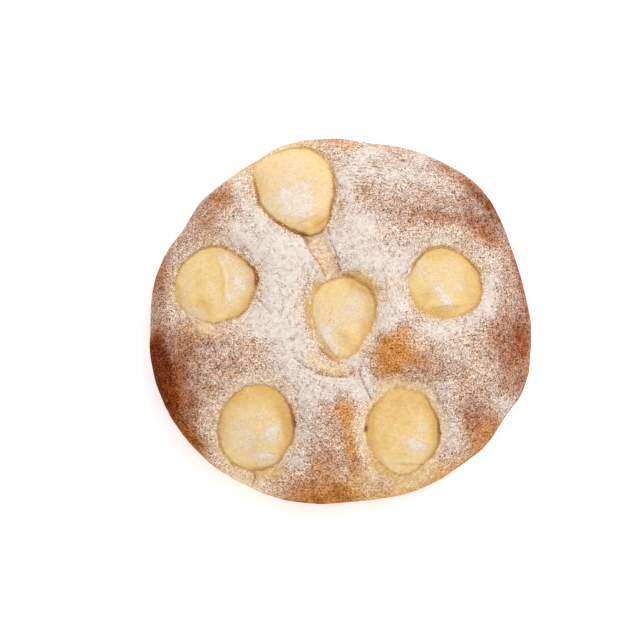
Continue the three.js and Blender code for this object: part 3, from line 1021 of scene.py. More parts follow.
def into_pool(pool, x, y):
    """Plan x and y as along and across a pool's egg."""
    return turned(x - pool.x, y - pool.y, pool.tip)


def out_of_pool(pool, along, across):
    """Along and across a pool's egg as plan x and y."""
    x, y = turned(along, across, -pool.tip)
    return pool.x + x, pool.y + y


def lobe_size(pool, turn):
    """How much larger than its plain egg a pool is at a turn round it."""
    size = 1 + pool.lobe_depth * np.cos(pool.lobes * turn)
    for count, depth in WAVES:
        size += depth * np.cos(count * turn + pool.waves * count)
    for at, spread, rise in pool.bulges:
        size += rise * arc_bump(np.degrees(turn), at, spread)
    return size


def pool_share(pool, x, y):
    """How far a place is from a pool's middle: 1 on its outline."""
    along, across = into_pool(pool, x, y)
    forward = along / (pool.length / 2)
    narrowed = 1 - pool.taper * np.clip(forward, -FARTHEST_TAPER, FARTHEST_TAPER)
    sideways = across / (pool.width / 2 * narrowed)
    return np.hypot(forward, sideways) / lobe_size(pool, np.arctan2(sideways, forward))


def egg_point(pool, share, turn):
    """The egg's place in plan for a share of its size and a turn round it."""
    lobe = lobe_size(pool, turn)
    forward = share * lobe * np.cos(turn)
    along = pool.length / 2 * forward
    across = pool.width / 2 * share * lobe * np.sin(turn) * (1 - pool.taper * forward)
    return out_of_pool(pool, along, across)


def edge_distance(pool, x, y):
    """Millimetres from a pool's outline, below 0 inside it."""
    beside = x + TINY
    share = pool_share(pool, beside, y)
    return np.hypot(beside - pool.x, y - pool.y) / share * (share - 1)


def gap_width(pool, x, y):
    """How far the dough stands off the cream round a pool, and how brown that gap is."""
    degrees = np.degrees(np.arctan2(y - pool.y, x - pool.x))
    width = LEAST_GAP * (1 + flat_lumps(x, y, *GAP_RIPPLES))
    width += GAP_ROUGHNESS * np.maximum(0, flat_lumps(x, y, *GAP_TEARS))
    brown = LEAST_BROWN + GAP_BLOTCHINESS * flat_lumps(x, y, *GAP_BLOTCHES)
    for at, spread, wide, browned in pool.gaps:
        near = arc_bump(degrees, at, spread)
        width += wide * near
        brown += (browned - LEAST_BROWN) * near
    return width, np.clip(brown, 0, 1)


def channel_inside(x, y):
    """How far inside the stretched strip a place is, from 0 to 1."""
    run = np.subtract(CHANNEL_TO, CHANNEL_FROM)
    length = np.hypot(*run)
    along = ((x - CHANNEL_FROM[0]) * run[0] + (y - CHANNEL_FROM[1]) * run[1]) / length**2
    across = ((y - CHANNEL_FROM[1]) * run[0] - (x - CHANNEL_FROM[0]) * run[1]) / length
    ends = ease(-CHANNEL_RUNS_PAST, CHANNEL_RUNS_IN, along)
    ends *= ease(-CHANNEL_RUNS_PAST, CHANNEL_RUNS_IN, 1 - along)
    half = (CHANNEL_WIDTHS[0] + (CHANNEL_WIDTHS[1] - CHANNEL_WIDTHS[0]) * along) / 2
    return ends * (1 - ease(CHANNEL_FLAT_SHARE, CHANNEL_LIP_SHARE, np.abs(across) / np.maximum(half, 1)))


def big_relief(x, y):
    """What the top of the dough adds to the plain dome: swellings, sinks and the stretched strip."""
    share = share_out(x, y)
    total = swell_height(x, y, share) - CHANNEL_DEPTH * channel_inside(x, y)
    for pool in POOLS:
        total -= sink_depth(share) * (1 - ease(1, 1 + SINK_REACH, pool_share(pool, x, y)))
    return total


def mouth_height(x, y):
    """The level of the dough at a hollow's mouth, carried on across the hollow."""
    share = np.minimum(share_out(x, y), 1)
    return dome_height(share) + swell_height(x, y, share) - sink_depth(share)


def hollow_drop(x, y):
    """How far the dough falls below the mouth in the hollows, and the low lip round each."""
    total = np.zeros_like(x)
    for pool in POOLS:
        edge = edge_distance(pool, x, y)
        gap, browned = gap_width(pool, x, y)
        groove = GROOVE_DEPTH + GROOVE_DEPTH_IF_BROWN * browned
        total -= groove * (1 - ease(-GROOVE_RUNS_IN, gap + GROOVE_RUNS_OUT, edge))
        total -= WALL_DROP * (1 - ease(-WALL_STARTS - WALL_RUN, -WALL_STARTS, edge))
        total -= FLOOR_DROP * (1 - ease(-FLOOR_STARTS - FLOOR_RUN, -FLOOR_STARTS, edge))
        total += LIP_RISE * bump(edge - gap - LIP_WIDTH, LIP_WIDTH)
    return total


def crease_line(points):
    """A crease's line as close-set points, wandering a little off the straight way."""
    corners = np.array(points)
    run = np.concatenate([[0], np.cumsum(np.hypot(*np.diff(corners, axis=0).T))])
    at = np.linspace(0, run[-1], max(3, int(run[-1] / CREASE_STEP)))
    line = np.stack([np.interp(at, run, corners[:, 0]), np.interp(at, run, corners[:, 1])], 1)
    ends = np.minimum(1, np.minimum(at, run[-1] - at) / CREASE_END)
    for axis, seed in enumerate(CREASE_WANDER_SEEDS):
        line[:, axis] += CREASE_WANDER * ends * flat_lumps(*line.T, CREASE_WANDER_SIZE, seed)
    return line


def crease_distance(line, x, y):
    """Distance from a crease's line, far away where it can't matter, the signed way off to the line's left,
    and the nearest places on the line."""
    low, high = line.min(0) - CREASE_REACH, line.max(0) + CREASE_REACH
    near = (x > low[0]) & (x < high[0]) & (y > low[1]) & (y < high[1])
    distance, aside = np.full_like(x, FAR_OFF), np.full_like(x, FAR_OFF)
    on_x, on_y = x.copy(), y.copy()
    if near.any():
        off = np.hypot(x[near][:, None] - line[:, 0], y[near][:, None] - line[:, 1])
        nearest = off.argmin(1)
        ahead = np.gradient(line, axis=0)[nearest]
        ahead /= np.hypot(*ahead.T)[:, None]
        distance[near] = off.min(1)
        on_x[near], on_y[near] = line[nearest].T
        aside[near] = ahead[:, 0] * (y - on_y)[near] - ahead[:, 1] * (x - on_x)[near]
    return distance, aside, on_x, on_y


def crease_relief(x, y):
    """How deep the creases are, and how high their lips."""
    total = np.zeros_like(x)
    roughness = 1 + CREASE_UNEVENNESS * flat_lumps(x, y, *CREASE_LUMPS)
    for points, width, deep, _ in CREASES:
        distance, _, _, _ = crease_distance(crease_line(points), x, y)
        lip = bump(distance - CREASE_LIP_OFF * width, CREASE_LIP_WIDTH * width)
        total -= deep * roughness * bump(distance, width)
        total += deep * CREASE_LIP_SHARE * lip
    return total


def crease_maps(x, y):
    """How many of its half-widths a place is off the nearest crease, with a sign, and how dark that is."""
    nearest, off, dark = np.full_like(x, FAR_OFF), np.full_like(x, FAR_OFF), np.zeros_like(x)
    for points, width, _, darkness in CREASES:
        distance, aside, _, _ = crease_distance(crease_line(points), x, y)
        closer = distance < nearest
        nearest = np.where(closer, distance, nearest)
        off = np.where(closer, aside / width, off)
        dark = np.where(closer, darkness * (1 - ease(*CREASE_DARK_REACH, distance)), dark)
    return off, dark


def wrinkles(x, y):
    """Fine wrinkles that run round the pools where the dough was stretched."""
    total = np.zeros_like(x)
    for number, pool in enumerate(POOLS):
        edge = edge_distance(pool, x, y)
        turn = np.arctan2(y - pool.y, x - pool.x) * pool.length / 2
        rows = flat_lumps(edge / WRINKLE_WIDTH, turn / WRINKLE_LENGTH, 1, WRINKLE_SEED + number)
        band = ease(*WRINKLES_COME, edge) * (1 - ease(*WRINKLES_GO, edge))
        total += WRINKLE_RISE * band * (1 - 2 * np.abs(rows))
    return total


def wrinkle_runs(x, y):
    """For the finest wrinkles: how far out from its fan's centre a place is, and how wrinkled it is there."""
    run, wrinkled = np.zeros_like(x), np.zeros_like(x)
    for (from_x, from_y), patch in WRINKLE_FANS:
        amount = patches(x, y, (patch,))
        run = np.where(amount > wrinkled, np.hypot(x - from_x, y - from_y), run)
        wrinkled = np.maximum(wrinkled, amount)
    return run, wrinkled


def draw_to_rims(x, y):
    """Moves plan points towards the pools' rims, so that walls and lips get the most points."""
    inside = 1 - ease(*RIM_DRAW_FADE, share_out(x, y))
    for pool in POOLS:
        share = pool_share(pool, x, y)
        off = share - 1
        drawn = share - RIM_DRAW * inside * off * bump(off, RIM_DRAW_WIDTH)
        scale = np.where(share > TINY, drawn / np.maximum(share, TINY), 1)
        x = pool.x + (x - pool.x) * scale
        y = pool.y + (y - pool.y) * scale
    return x, y


def draw_to_creases(x, y):
    """Moves plan points towards the creases, so that they are as sharp as the mesh allows."""
    shape = np.shape(x)
    x, y = x.ravel(), y.ravel()
    for points, _, _, _ in CREASES:
        distance, _, on_x, on_y = crease_distance(crease_line(points), x, y)
        pull = CREASE_DRAW * bump(distance, CREASE_DRAW_WIDTH)
        x, y = x + pull * (on_x - x), y + pull * (on_y - y)
    return x.reshape(shape), y.reshape(shape)


def disc_grid(half):
    """A square grid bent into a disc: the ring number and the angle of each of its points."""
    steps = np.arange(-half, half + 1)
    a, b = (axis.astype(float) for axis in np.meshgrid(steps, steps, indexing="ij"))
    ring = np.maximum(np.abs(a), np.abs(b))
    wide = np.abs(a) >= np.abs(b)
    safe_a, safe_b = np.where(a == 0, 1, a), np.where(b == 0, 1, b)
    angle = np.where(wide, math.pi / 4 * b / safe_a, math.pi / 2 - math.pi / 4 * a / safe_b)
    angle += np.where(wide & (a < 0) | ~wide & (b < 0), math.pi, 0)
    return ring, angle


def shoulder_shares(rings):
    """Shares of the waist for rings that lie evenly along the top of the dome."""
    share = np.sin(np.linspace(0, math.pi / 2, SHOULDER_STEPS))
    radius, height = share * BUN_RADIUS, dome_height(share)
    length = np.concatenate([[0], np.cumsum(np.hypot(np.diff(radius), np.diff(height)))])
    return np.interp(np.linspace(0, length[-1], rings + 1), length, share)


def bun_surface():
    """The bare bun's top and side as a grid of points from its base up, and which of them are on top."""
    ring, angle = disc_grid(TOP_RINGS + SIDE_RINGS)
    radius = outline_radius(angle)
    share = np.interp(ring, np.arange(TOP_RINGS + 1), shoulder_shares(TOP_RINGS))
    top_x, top_y = draw_to_rims(share * radius * np.cos(angle), share * radius * np.sin(angle))
    top_x, top_y = draw_to_creases(top_x, top_y)
    top_z = dome_height(np.minimum(share_out(top_x, top_y), 1)) + big_relief(top_x, top_y)
    turn = math.pi / 2 * np.clip((ring - TOP_RINGS) / SIDE_RINGS, 0, 1)
    side_share = BASE_SHARE + (1 - BASE_SHARE) * np.cos(turn)
    rim = big_relief(radius * np.cos(angle), radius * np.sin(angle))
    side_z = (WAIST_HEIGHT + rim) * (1 - np.sin(turn))
    on_top = ring <= TOP_RINGS
    x = np.where(on_top, top_x, side_share * radius * np.cos(angle))
    y = np.where(on_top, top_y, side_share * radius * np.sin(angle))
    return np.stack([x, y, np.where(on_top, top_z, side_z)], -1), on_top.ravel()


def grid_normals(grid):
    """Unit normals of a grid of points, pointing out of the bun."""
    normal = np.cross(np.gradient(grid, axis=0), np.gradient(grid, axis=1))
    return normal / np.maximum(np.linalg.norm(normal, axis=-1, keepdims=True), TINY)


def grid_faces(count):
    """Quads of a square grid of points."""
    number = np.arange(count * count).reshape(count, count)
    corners = number[:-1, :-1], number[1:, :-1], number[1:, 1:], number[:-1, 1:]
    return np.stack([corner.ravel() for corner in corners], 1)


def grid_border(count):
    """The border points of a square grid, in order round it."""
    number = np.arange(count * count).reshape(count, count)
    return np.concatenate([number[:-1, 0], number[-1, :-1], number[1:, -1][::-1], number[0, 1:][::-1]])


def dough_maps(points, upward, on_top):
    """What the dough's material reads: sugar, browning, the pale halo round the pools, and the fields from
    which it draws creases, the grooves round the pools and wrinkles."""
    x, y, z = points.T
    sugar = SUGAR_EVERYWHERE + patches(x, y, SUGAR_PATCHES) + uneven(points, SUGAR_LUMPS)
    brown = BROWN_EVERYWHERE + patches(x, y, BROWN_PATCHES) + uneven(points, BROWN_LUMPS)
    brown += BROWN_AT_RIM * ease(*BROWN_RIM, share_out(x, y))
    strip = ease(*CHANNEL_EDGE, channel_inside(x, y))
    golden = np.maximum(patches(x, y, GOLDEN_PATCHES), CHANNEL_GOLDEN * strip)
    golden *= 1 + uneven(points, GOLDEN_LUMPS)
    nearest, groove_off = np.full_like(x, FAR_OFF), np.full_like(x, FAR_OFF)
    groove_brown = np.zeros_like(x)
    for number, pool in enumerate(POOLS):
        edge = edge_distance(pool, x, y)
        gap, browned = gap_width(pool, x, y)
        reach = HALO_WIDTH * (1 + HALO_RAGGEDNESS * lumps(points, HALO_LUMP_SIZE, HALO_SEED + number))
        golden = np.maximum(golden, pool.halo * (1 - ease(0, 1, (edge - gap) / reach)))
        closer = edge < nearest
        nearest = np.where(closer, edge, nearest)
        groove_off = np.where(closer, edge - gap + GROOVE_DRAWN_IN, groove_off)
        groove_brown = np.where(closer, browned, groove_brown)
    crease_off, crease_dark = crease_maps(x, y)
    run, wrinkled = wrinkle_runs(x, y)
    bare = (1 - CHANNEL_BARENESS * strip) * (1 - HALO_BARENESS * np.clip(golden, 0, 1))
    sugar = np.clip(sugar, LEAST_SUGAR, MOST_SUGAR)
    sugar = np.where(sugar > 0, sugar * bare, sugar)
    settles = ease(*SUGAR_STAYS_ON, upward)
    settles *= ease(WAIST_HEIGHT - SUGAR_LINE_SPREAD, WAIST_HEIGHT + SUGAR_LINE_SPREAD, z)
    return {
        "sugar": LEAST_SUGAR + (sugar - LEAST_SUGAR) * settles,
        "dusted": settles,
        "browning": np.clip(brown, 0, 1),
        "golden": np.clip(golden, 0, 1) * on_top,
        "groove_off": np.where(on_top, np.clip(groove_off, *GROOVE_FIELD), max(GROOVE_FIELD)),
        "groove_brown": groove_brown,
        "ochre": np.clip(patches(x, y, OCHRE_PATCHES), 0, 1) * on_top,
        "crease_off": np.clip(crease_off, -CREASE_FIELD, CREASE_FIELD),
        "crease_dark": crease_dark * on_top,
        "wrinkle_run": run,
        "wrinkled": wrinkled * on_top,
    }


def new_mesh(name, points, faces, attributes, material):
    """A smooth mesh in metres from arrays in millimetres, with its point attributes. Faces come as a list of
    arrays, each with one number of corners."""
    loops = np.concatenate([part.ravel() for part in faces])
    sizes = np.concatenate([np.full(len(part), part.shape[1]) for part in faces])
    mesh = bpy.data.meshes.new(name)
    mesh.vertices.add(len(points))
    mesh.vertices.foreach_set("co", (np.asarray(points) * MM).astype(np.float32).ravel())
    mesh.loops.add(len(loops))
    mesh.loops.foreach_set("vertex_index", loops.astype(np.int32))
    mesh.polygons.add(len(sizes))
    starts = np.concatenate([[0], np.cumsum(sizes)[:-1]])
    mesh.polygons.foreach_set("loop_start", starts.astype(np.int32))
    mesh.polygons.foreach_set("use_smooth", np.ones(len(sizes), bool))
    for key, values in attributes.items():
        layer = mesh.attributes.new(key, "FLOAT", "POINT")
        layer.data.foreach_set("value", np.asarray(values, np.float32))
    mesh.update(calc_edges=True)
    mesh.validate()
    mesh.materials.append(material)
    return mesh


def new_object(data):
    """An object in the scene for a mesh, a lamp or a camera, with its name."""
    made = bpy.data.objects.new(data.name, data)
    bpy.context.scene.collection.objects.link(made)
    return made


def finish_piece(piece, slot, *nodes):
    """Puts a piece on the bun's body, in place of its solid. The slot is not used."""
    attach(piece, BODY)
    if nodes:
        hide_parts(*nodes)
    return piece


def dough_points():
    """The dough's top and side: the bare bun with hollows, creases, wrinkles and a thickness of sugar."""
    grid, on_top = bun_surface()
    normal = grid_normals(grid).reshape(-1, 3)
    points = grid.reshape(-1, 3).copy()
    x, y = points[:, 0].copy(), points[:, 1].copy()
    share = share_out(x, y)
    lift = uneven(points, CRUST_LUMPS)
    lift += on_top * (1 - ease(*CREASES_FADE, share)) * (crease_relief(x, y) + wrinkles(x, y))
    lift *= ease(*BASE_FADE, points[:, 2])
    points += normal * lift[:, None]
    points[:, 2] += on_top * hollow_drop(x, y) * (1 - ease(*HOLLOWS_FADE, share))
    maps = dough_maps(points, normal[:, 2], on_top)
    thickness = SUGAR_THICKNESS * np.maximum(0, maps["sugar"]) * (1 + lumps(points, *SUGAR_CLUMPS))
    points += normal * thickness[:, None]
    return points, maps, len(grid)


def dough_piece(material):
    """The dough in one closed mesh: its top and side, and a flat underside in rings."""
    points, maps, count = dough_points()
    border = grid_border(count)
    faces = [grid_faces(count)]
    rings = [border]
    extra = []
    for share in BASE_RINGS:
        rings.append(len(points) + len(extra) * len(border) + np.arange(len(border)))
        extra.append(points[border] * (share, share, 0))
    middle = len(points) + len(extra) * len(border)
    extra.append(np.zeros((1, 3)))
    for outer, inner in zip(rings, rings[1:]):
        faces.append(np.stack([outer, inner, np.roll(inner, -1), np.roll(outer, -1)], 1))
    last = rings[-1]
    faces.append(np.stack([last, np.full(len(last), middle), np.roll(last, -1)], 1))
    under = np.concatenate(extra)
    underside = {
        "browning": UNDERSIDE_BROWN + uneven(under, UNDERSIDE_LUMPS),
        "sugar": LEAST_SUGAR,
        "dusted": NO_SPECKS,
        "groove_off": FAR_OFF,
    }
    attributes = {}
    for key, values in maps.items():
        beneath = np.broadcast_to(underside.get(key, 0.0), len(under))
        attributes[key] = np.concatenate([values, beneath])
    mesh = new_mesh("brioche_dough", np.concatenate([points, under]), faces, attributes, material)
    return finish_piece(new_object(mesh), "crust", "dough")


def crown_height(pool, share):
    rounded = np.maximum(0, 1 - share**CROWN_POWER) ** CROWN_FULLNESS
    return (pool.crown + CREAM_EDGE_DROP) * rounded - CREAM_EDGE_DROP


def fold_places(fold, along, across):
    """Where places are by a fold: ahead along its edge, and aside of it, above 0 on its gentle back."""
    ahead, aside = turned(along - fold.along, across - fold.across, fold.turn)
    return ahead, aside + fold.bow * ahead**2


def fold_height(pool, along, across):
    total = np.zeros_like(along)
    for fold in pool.folds:
        ahead, aside = fold_places(fold, along, across)
        side = np.where(aside > 0, fold.gentle, fold.steep)
        total += fold.rise * bump(ahead, fold.reach) * bump(aside, side)
    return total


def fold_marks(pool, along, across):
    """The sugar on the gentle backs of the folds, ending at once at each edge, and how far a place is at the
    foot of a steep side, where the cream gets painted shade."""
    dusted, foot = np.zeros_like(along), np.zeros_like(along)
    for fold in pool.folds:
        ahead, aside = fold_places(fold, along, across)
        beside = bump(ahead, fold.reach)
        dusted += fold.sugar * beside * bump(aside, fold.gentle) * ease(-FOLD_EDGE, FOLD_EDGE, aside)
        foot = np.maximum(foot, beside * bump(aside + FOLD_FOOT, FOLD_FOOT))
    return dusted, foot


def egg_rings(pool, share, turn):
    """A pool's plan in rings of the given shares: x, y and share of each point, and the middle last."""
    shares, turns = (axis.ravel() for axis in np.meshgrid(share, turn, indexing="ij"))
    x, y = egg_point(pool, shares, turns)
    return np.append(x, pool.x), np.append(y, pool.y), np.append(shares, 0)


def cream_top(pool, turn):
    """The points of a pool's upper face, ring by ring from the middle out, and the middle itself last."""
    x, y, share = egg_rings(pool, np.sin(np.linspace(0, math.pi / 2, CREAM_RINGS + 1))[1:], turn)
    height = crown_height(pool, share)
    height += fold_height(pool, *into_pool(pool, x, y)) * (1 - share**FOLD_FADE_POWER)
    top = np.stack([x, y, mouth_height(x, y) + height], 1)
    top[:, 2] += (1 - share**LUMPS_FADE_POWER) * uneven(top, CREAM_LUMPS)
    return top


def cream_floor(pool, turn):
    """The points of a pool's underside, ring by ring from the outside in, and the lowest one last."""
    x, y, share = egg_rings(pool, np.cos(np.linspace(0, math.pi / 2, CREAM_FLOOR_RINGS + 1))[1:-1], turn)
    depth = HOLLOW_WALL + HOLLOW_DEPTH * (1 - share**HOLLOW_POWER)
    return np.stack([x, y, mouth_height(x, y) - depth], 1)


def cream_faces(top_middle, pit):
    """Faces of a pool: rings of points from the middle out over the top, then back in along the floor."""
    ring = np.arange(CREAM_SECTORS)
    rings = [ring + CREAM_SECTORS * number for number in range(CREAM_RINGS)]
    rings += [top_middle + 1 + ring + CREAM_SECTORS * number for number in range(CREAM_FLOOR_RINGS - 1)]
    first, last = rings[0], rings[-1]
    faces = [np.stack([np.full(CREAM_SECTORS, top_middle), first, np.roll(first, -1)], 1)]
    for inner, outer in zip(rings, rings[1:]):
        faces.append(np.stack([inner, outer, np.roll(outer, -1), np.roll(inner, -1)], 1))
    faces.append(np.stack([last, np.full(CREAM_SECTORS, pit), np.roll(last, -1)], 1))
    return faces


def cream_maps(pool, points):
    """What the cream's material reads: sugar, how deep its yellow is, with painted shade at the feet of
    folds, along the edge and on the side away from the light, and the stain along its edge, with patches of
    painted shade.
    """
    x, y = points[:, 0], points[:, 1]
    inward = -edge_distance(pool, x, y)
    _, browned = gap_width(pool, x, y)
    dusted, foot = fold_marks(pool, *into_pool(pool, x, y))
    sugar = CREAM_SUGAR_EVERYWHERE + patches(x, y, CREAM_SUGAR_PATCHES) + dusted
    sugar += uneven(points, CREAM_SUGAR_LUMPS)
    toward_painted_shade_side = np.cos(np.arctan2(y - pool.y, x - pool.x) - math.radians(PAINTED_SHADE_SIDE))
    # Listed patches of deeper yellow, partly the cream's own colour and partly painted shade.
    depth = patches(x, y, CREAM_DEPTH_AND_SHADE_PATCHES) + uneven(points, CREAM_DEPTH_LUMPS)
    # Painted shade at the foot of each fold's steep side.
    depth += FOLD_FOOT_SHADE * foot
    # Deeper yellow along the edge: partly the edge's own colour, partly painted shade under the dough's lip.
    depth += EDGE_DEPTH_AND_SHADE * (1 - ease(0, EDGE_WIDTH, inward))
    # Painted shade: the yellow deepens on the side of each pool away from the light.
    depth += PAINTED_SHADE_SIDE_DEPTH * np.maximum(0, toward_painted_shade_side) * (1 - ease(0, PAINTED_SHADE_SIDE_WIDTH, inward))
    # Listed brown patches: stains, and painted shade where the edge lies in shade.
    stain_and_shade = patches(x, y, CREAM_STAIN_AND_SHADE_PATCHES)
    stain = np.clip(STAIN * browned, 0, 1)
    stain *= 1 - ease(STAIN_STARTS, STAIN_RUN + STAIN_RUN_IF_BROWN * browned, inward)
    return {
        "sugar": np.clip(sugar * ease(*CREAM_SUGAR_STARTS, inward), 0, MOST_CREAM_SUGAR),
        "depth": np.clip(0.5 + depth / 2, 0, 1),
        "stain": np.clip(stain + stain_and_shade, 0, 1),
        "stain_brown": np.maximum(browned, PATCH_STAIN_BROWN * ease(0, PATCH_STAIN_FULL, stain_and_shade)),
    }


def cream_piece(pool, material):
    turn = np.linspace(0, 2 * math.pi, CREAM_SECTORS, endpoint=False)
    top, floor = cream_top(pool, turn), cream_floor(pool, turn)
    points = np.concatenate([top, floor])
    faces = cream_faces(len(top) - 1, len(points) - 1)
    mesh = new_mesh(pool.name + "_pool", points, faces, cream_maps(pool, points), material)
    return finish_piece(new_object(mesh), "cream", pool.name)


def linear(red, green, blue):
    """A colour named as it looks on screen, 0 to 255, as the linear colour that a shader takes."""
    shown = np.array([red, green, blue]) / 255
    straight = np.where(shown <= 0.04045, shown / 12.92, ((shown + 0.055) / 1.055) ** 2.4)
    return (*map(float, straight), 1.0)


def feed(tree, socket, value):
    """Links a socket to what feeds it, or sets it where the value is plain."""
    if isinstance(value, bpy.types.NodeSocket):
        tree.links.new(value, socket)
    else:
        socket.default_value = value


def new_node(tree, kind, inputs, **settings):
    """A node with its settings, and with its inputs fed by name or by number."""
    made = tree.nodes.new(kind)
    for name, value in settings.items():
        setattr(made, name, value)
    for key, value in inputs.items():
        feed(tree, made.inputs[key], value)
    return made


def attribute(tree, name):
    return new_node(tree, "ShaderNodeAttribute", {}, attribute_name=name).outputs["Fac"]


def reckon(tree, operation, *values):
    """One step of arithmetic."""
    return new_node(tree, "ShaderNodeMath", dict(enumerate(values)), operation=operation).outputs[0]


def reckon_vector(tree, operation, inputs):
    return new_node(tree, "ShaderNodeVectorMath", inputs, operation=operation).outputs["Vector"]


def ranged(tree, value, low, high, to_low=0.0, to_high=1.0):
    """Eases from one value to another as the given value goes from low to high."""
    inputs = {"Value": value, "From Min": low, "From Max": high, "To Min": to_low, "To Max": to_high}
    made = new_node(tree, "ShaderNodeMapRange", inputs, interpolation_type="SMOOTHSTEP")
    return made.outputs["Result"]


def speckle(tree, place, size, detail, streaks=0.0):
    """Noise over the piece, with specks of about the given size in millimetres, drawn out into streaks."""
    inputs = {
        "Vector": place,
        "Scale": 1 / (size * MM),
        "Detail": detail,
        "Roughness": SPECKLE_ROUGHNESS,
        "Distortion": streaks,
    }
    return new_node(tree, "ShaderNodeTexNoise", inputs).outputs["Fac"]


def speckle_about_zero(tree, place, size, detail, streaks=0.0):
    """Speckle from -0.5 to 0.5."""
    return reckon(tree, "SUBTRACT", speckle(tree, place, size, detail, streaks), 0.5)


def mixed(tree, factor, first, second):
    """A colour between two, by the numbers that the Mix node's colour sockets have."""
    inputs = {0: factor, 6: first, 7: second}
    return new_node(tree, "ShaderNodeMix", inputs, data_type="RGBA").outputs[2]


def speckled(tree, colour, change, whiteness):
    """A colour with lighter and darker specks. They change it by a share of itself, and by plain grey as far
    as the whiteness says, but never past the darkest speck."""
    scale = reckon(tree, "MULTIPLY_ADD", change, SPECK_SHARE, 1.0)
    scaled = reckon_vector(tree, "SCALE", {0: colour, "Scale": scale})
    grey = reckon(tree, "MULTIPLY", change, whiteness)
    whitened = reckon_vector(tree, "ADD", {0: scaled, 1: grey})
    return reckon_vector(tree, "MAXIMUM", {0: whitened, 1: DARKEST_SPECK})


def ramp(tree, value, stops):
    """Colours by value: each stop a place from 0 to 1 and a colour."""
    made = new_node(tree, "ShaderNodeValToRGB", {"Fac": value})
    elements = made.color_ramp.elements
    while len(elements) < len(stops):
        elements.new(0.5)
    for element, (place, colour) in zip(elements, stops):
        element.position = place
        element.color = colour
    return made.outputs["Color"]


def relief(tree, height):
    """Fine relief that no mesh is fine enough for."""
    inputs = {"Height": height, "Strength": RELIEF_STRENGTH, "Distance": RELIEF_DEPTH * MM}
    return new_node(tree, "ShaderNodeBump", inputs).outputs["Normal"]


def new_material(name):
    """A new material with its tree, its main shader and the piece's own coordinates."""
    material = bpy.data.materials.new(name)
    material.use_nodes = True
    tree = material.node_tree
    shader = tree.nodes["Principled BSDF"]
    place = tree.nodes.new("ShaderNodeTexCoord").outputs["Object"]
    return material, tree, shader, place


# Colours: of the crust from pale to dark, of the cream from pale to deep, of what lies in and on them.
CRUST_STOPS = (
    (0.0, linear(240, 210, 160)),
    (0.25, linear(232, 182, 120)),
    (0.5, linear(201, 137, 74)),
    (0.7, linear(162, 95, 42)),
    (0.85, linear(136, 66, 14)),
    (1.0, linear(108, 44, 2)),
)
CREAM_STOPS = (
    (0.15, linear(244, 217, 172)),
    (0.5, linear(242, 208, 140)),
    (0.95, linear(222, 176, 92)),
)
GOLDEN_COLOUR = linear(244, 214, 165)
OCHRE_COLOUR = linear(212, 170, 106)
CREVICE_OCHRE = linear(206, 168, 100)
CREVICE_BROWN = linear(150, 95, 54)
CREASE_COLOUR = linear(172, 122, 76)
SUGAR_SHADE_COLOUR = linear(190, 160, 136)
SUGAR_COLOUR = linear(243, 231, 219)
SUGAR_THIN_COLOUR = linear(217, 202, 188)
CREAM_SUGAR_COLOUR = linear(234, 213, 189)
GRAIN_ON_CRUST_COLOUR = linear(226, 180, 142)
GRAIN_ON_CREAM_COLOUR = linear(244, 219, 168)
GRAINS_TOGETHER_COLOUR = linear(248, 239, 231)
FLOOR_COLOURS = (linear(250, 250, 250), linear(252, 252, 252))
DARKEST_SPECK = (0.05, 0.015, 0.002)

# Patterns: the size of the specks in millimetres, their detail, and how far they are drawn out into streaks.
BLOTCHES = (3.2, 1.0)
GOLDEN_MOTTLE = (1.8, 2.0)
SOAKED_SPOTS = (1.6, 2.0)
SUGAR_HEAPS = (1.8, 1.0)
SUGAR_TONES = (2.0, 2.0)
SUGAR_SPECKS = (0.62, 1.0)
CRUST_GRAIN = (1.1, 4.0)
GROOVE_WAVER = (1.2, 2.0)
CREASE_WAVER = (1.5, 2.0)
CREASE_BREAKS = (2.0, 2.0)
WRINKLE_WANDER = (4.0, 2.0)
WRINKLE_BREAKS = (2.2, 2.0)
CRAZING = (4.5, 1.5)
CRAZING_BREAKS = (3.0, 1.0)
CREAM_MOTTLE = (4.5, 1.0, 0.8)
CREAM_SMEARS = (4.5, 0.5, 1.0)
CREAM_SPECKS = (0.7, 1.0)
CREAM_RIPPLE_SHADING = (2.0, 2.0, 1.0)
CREAM_GRAIN = (1.8, 3.0, 0.6)
FLOOR_CLOUDS = (90, 2.0)
SPECKLE_ROUGHNESS = 0.6

# How much of a pattern shows.
BLOTCHINESS = 0.4
GOLDEN_SPREAD = 1.2
GOLDEN_SHOWS = 0.85
SOAKED_SPREAD = 2.2
SOAKED_SHOWS = 1.0
HEAPS_IN_SUGAR = 0.3
HEAPS_IN_SPECKS = 0.17
FURROW_BARENESS = 0.8
GROOVE_WAVERS_BY = 1.6
GROOVE_SHOWS = 0.1
GROOVE_SHOWS_IF_BROWN = 0.9
WRINKLES_WANDER_BY = 5.0
WRINKLE_SPACING = 1.7
CREAM_MOTTLED = 0.5
CREAM_SUGAR_SHOWS = 0.85
CREAM_RIPPLE_SHADING_AMOUNT = 0.3
CREAM_WHITENESS = 0.3
SPECK_SHARE = 0.5
CRUST_GRAIN_RISE = 0.9
CREAM_GRAIN_RISE = 1.5
RELIEF_STRENGTH = 0.5
RELIEF_DEPTH = 0.25

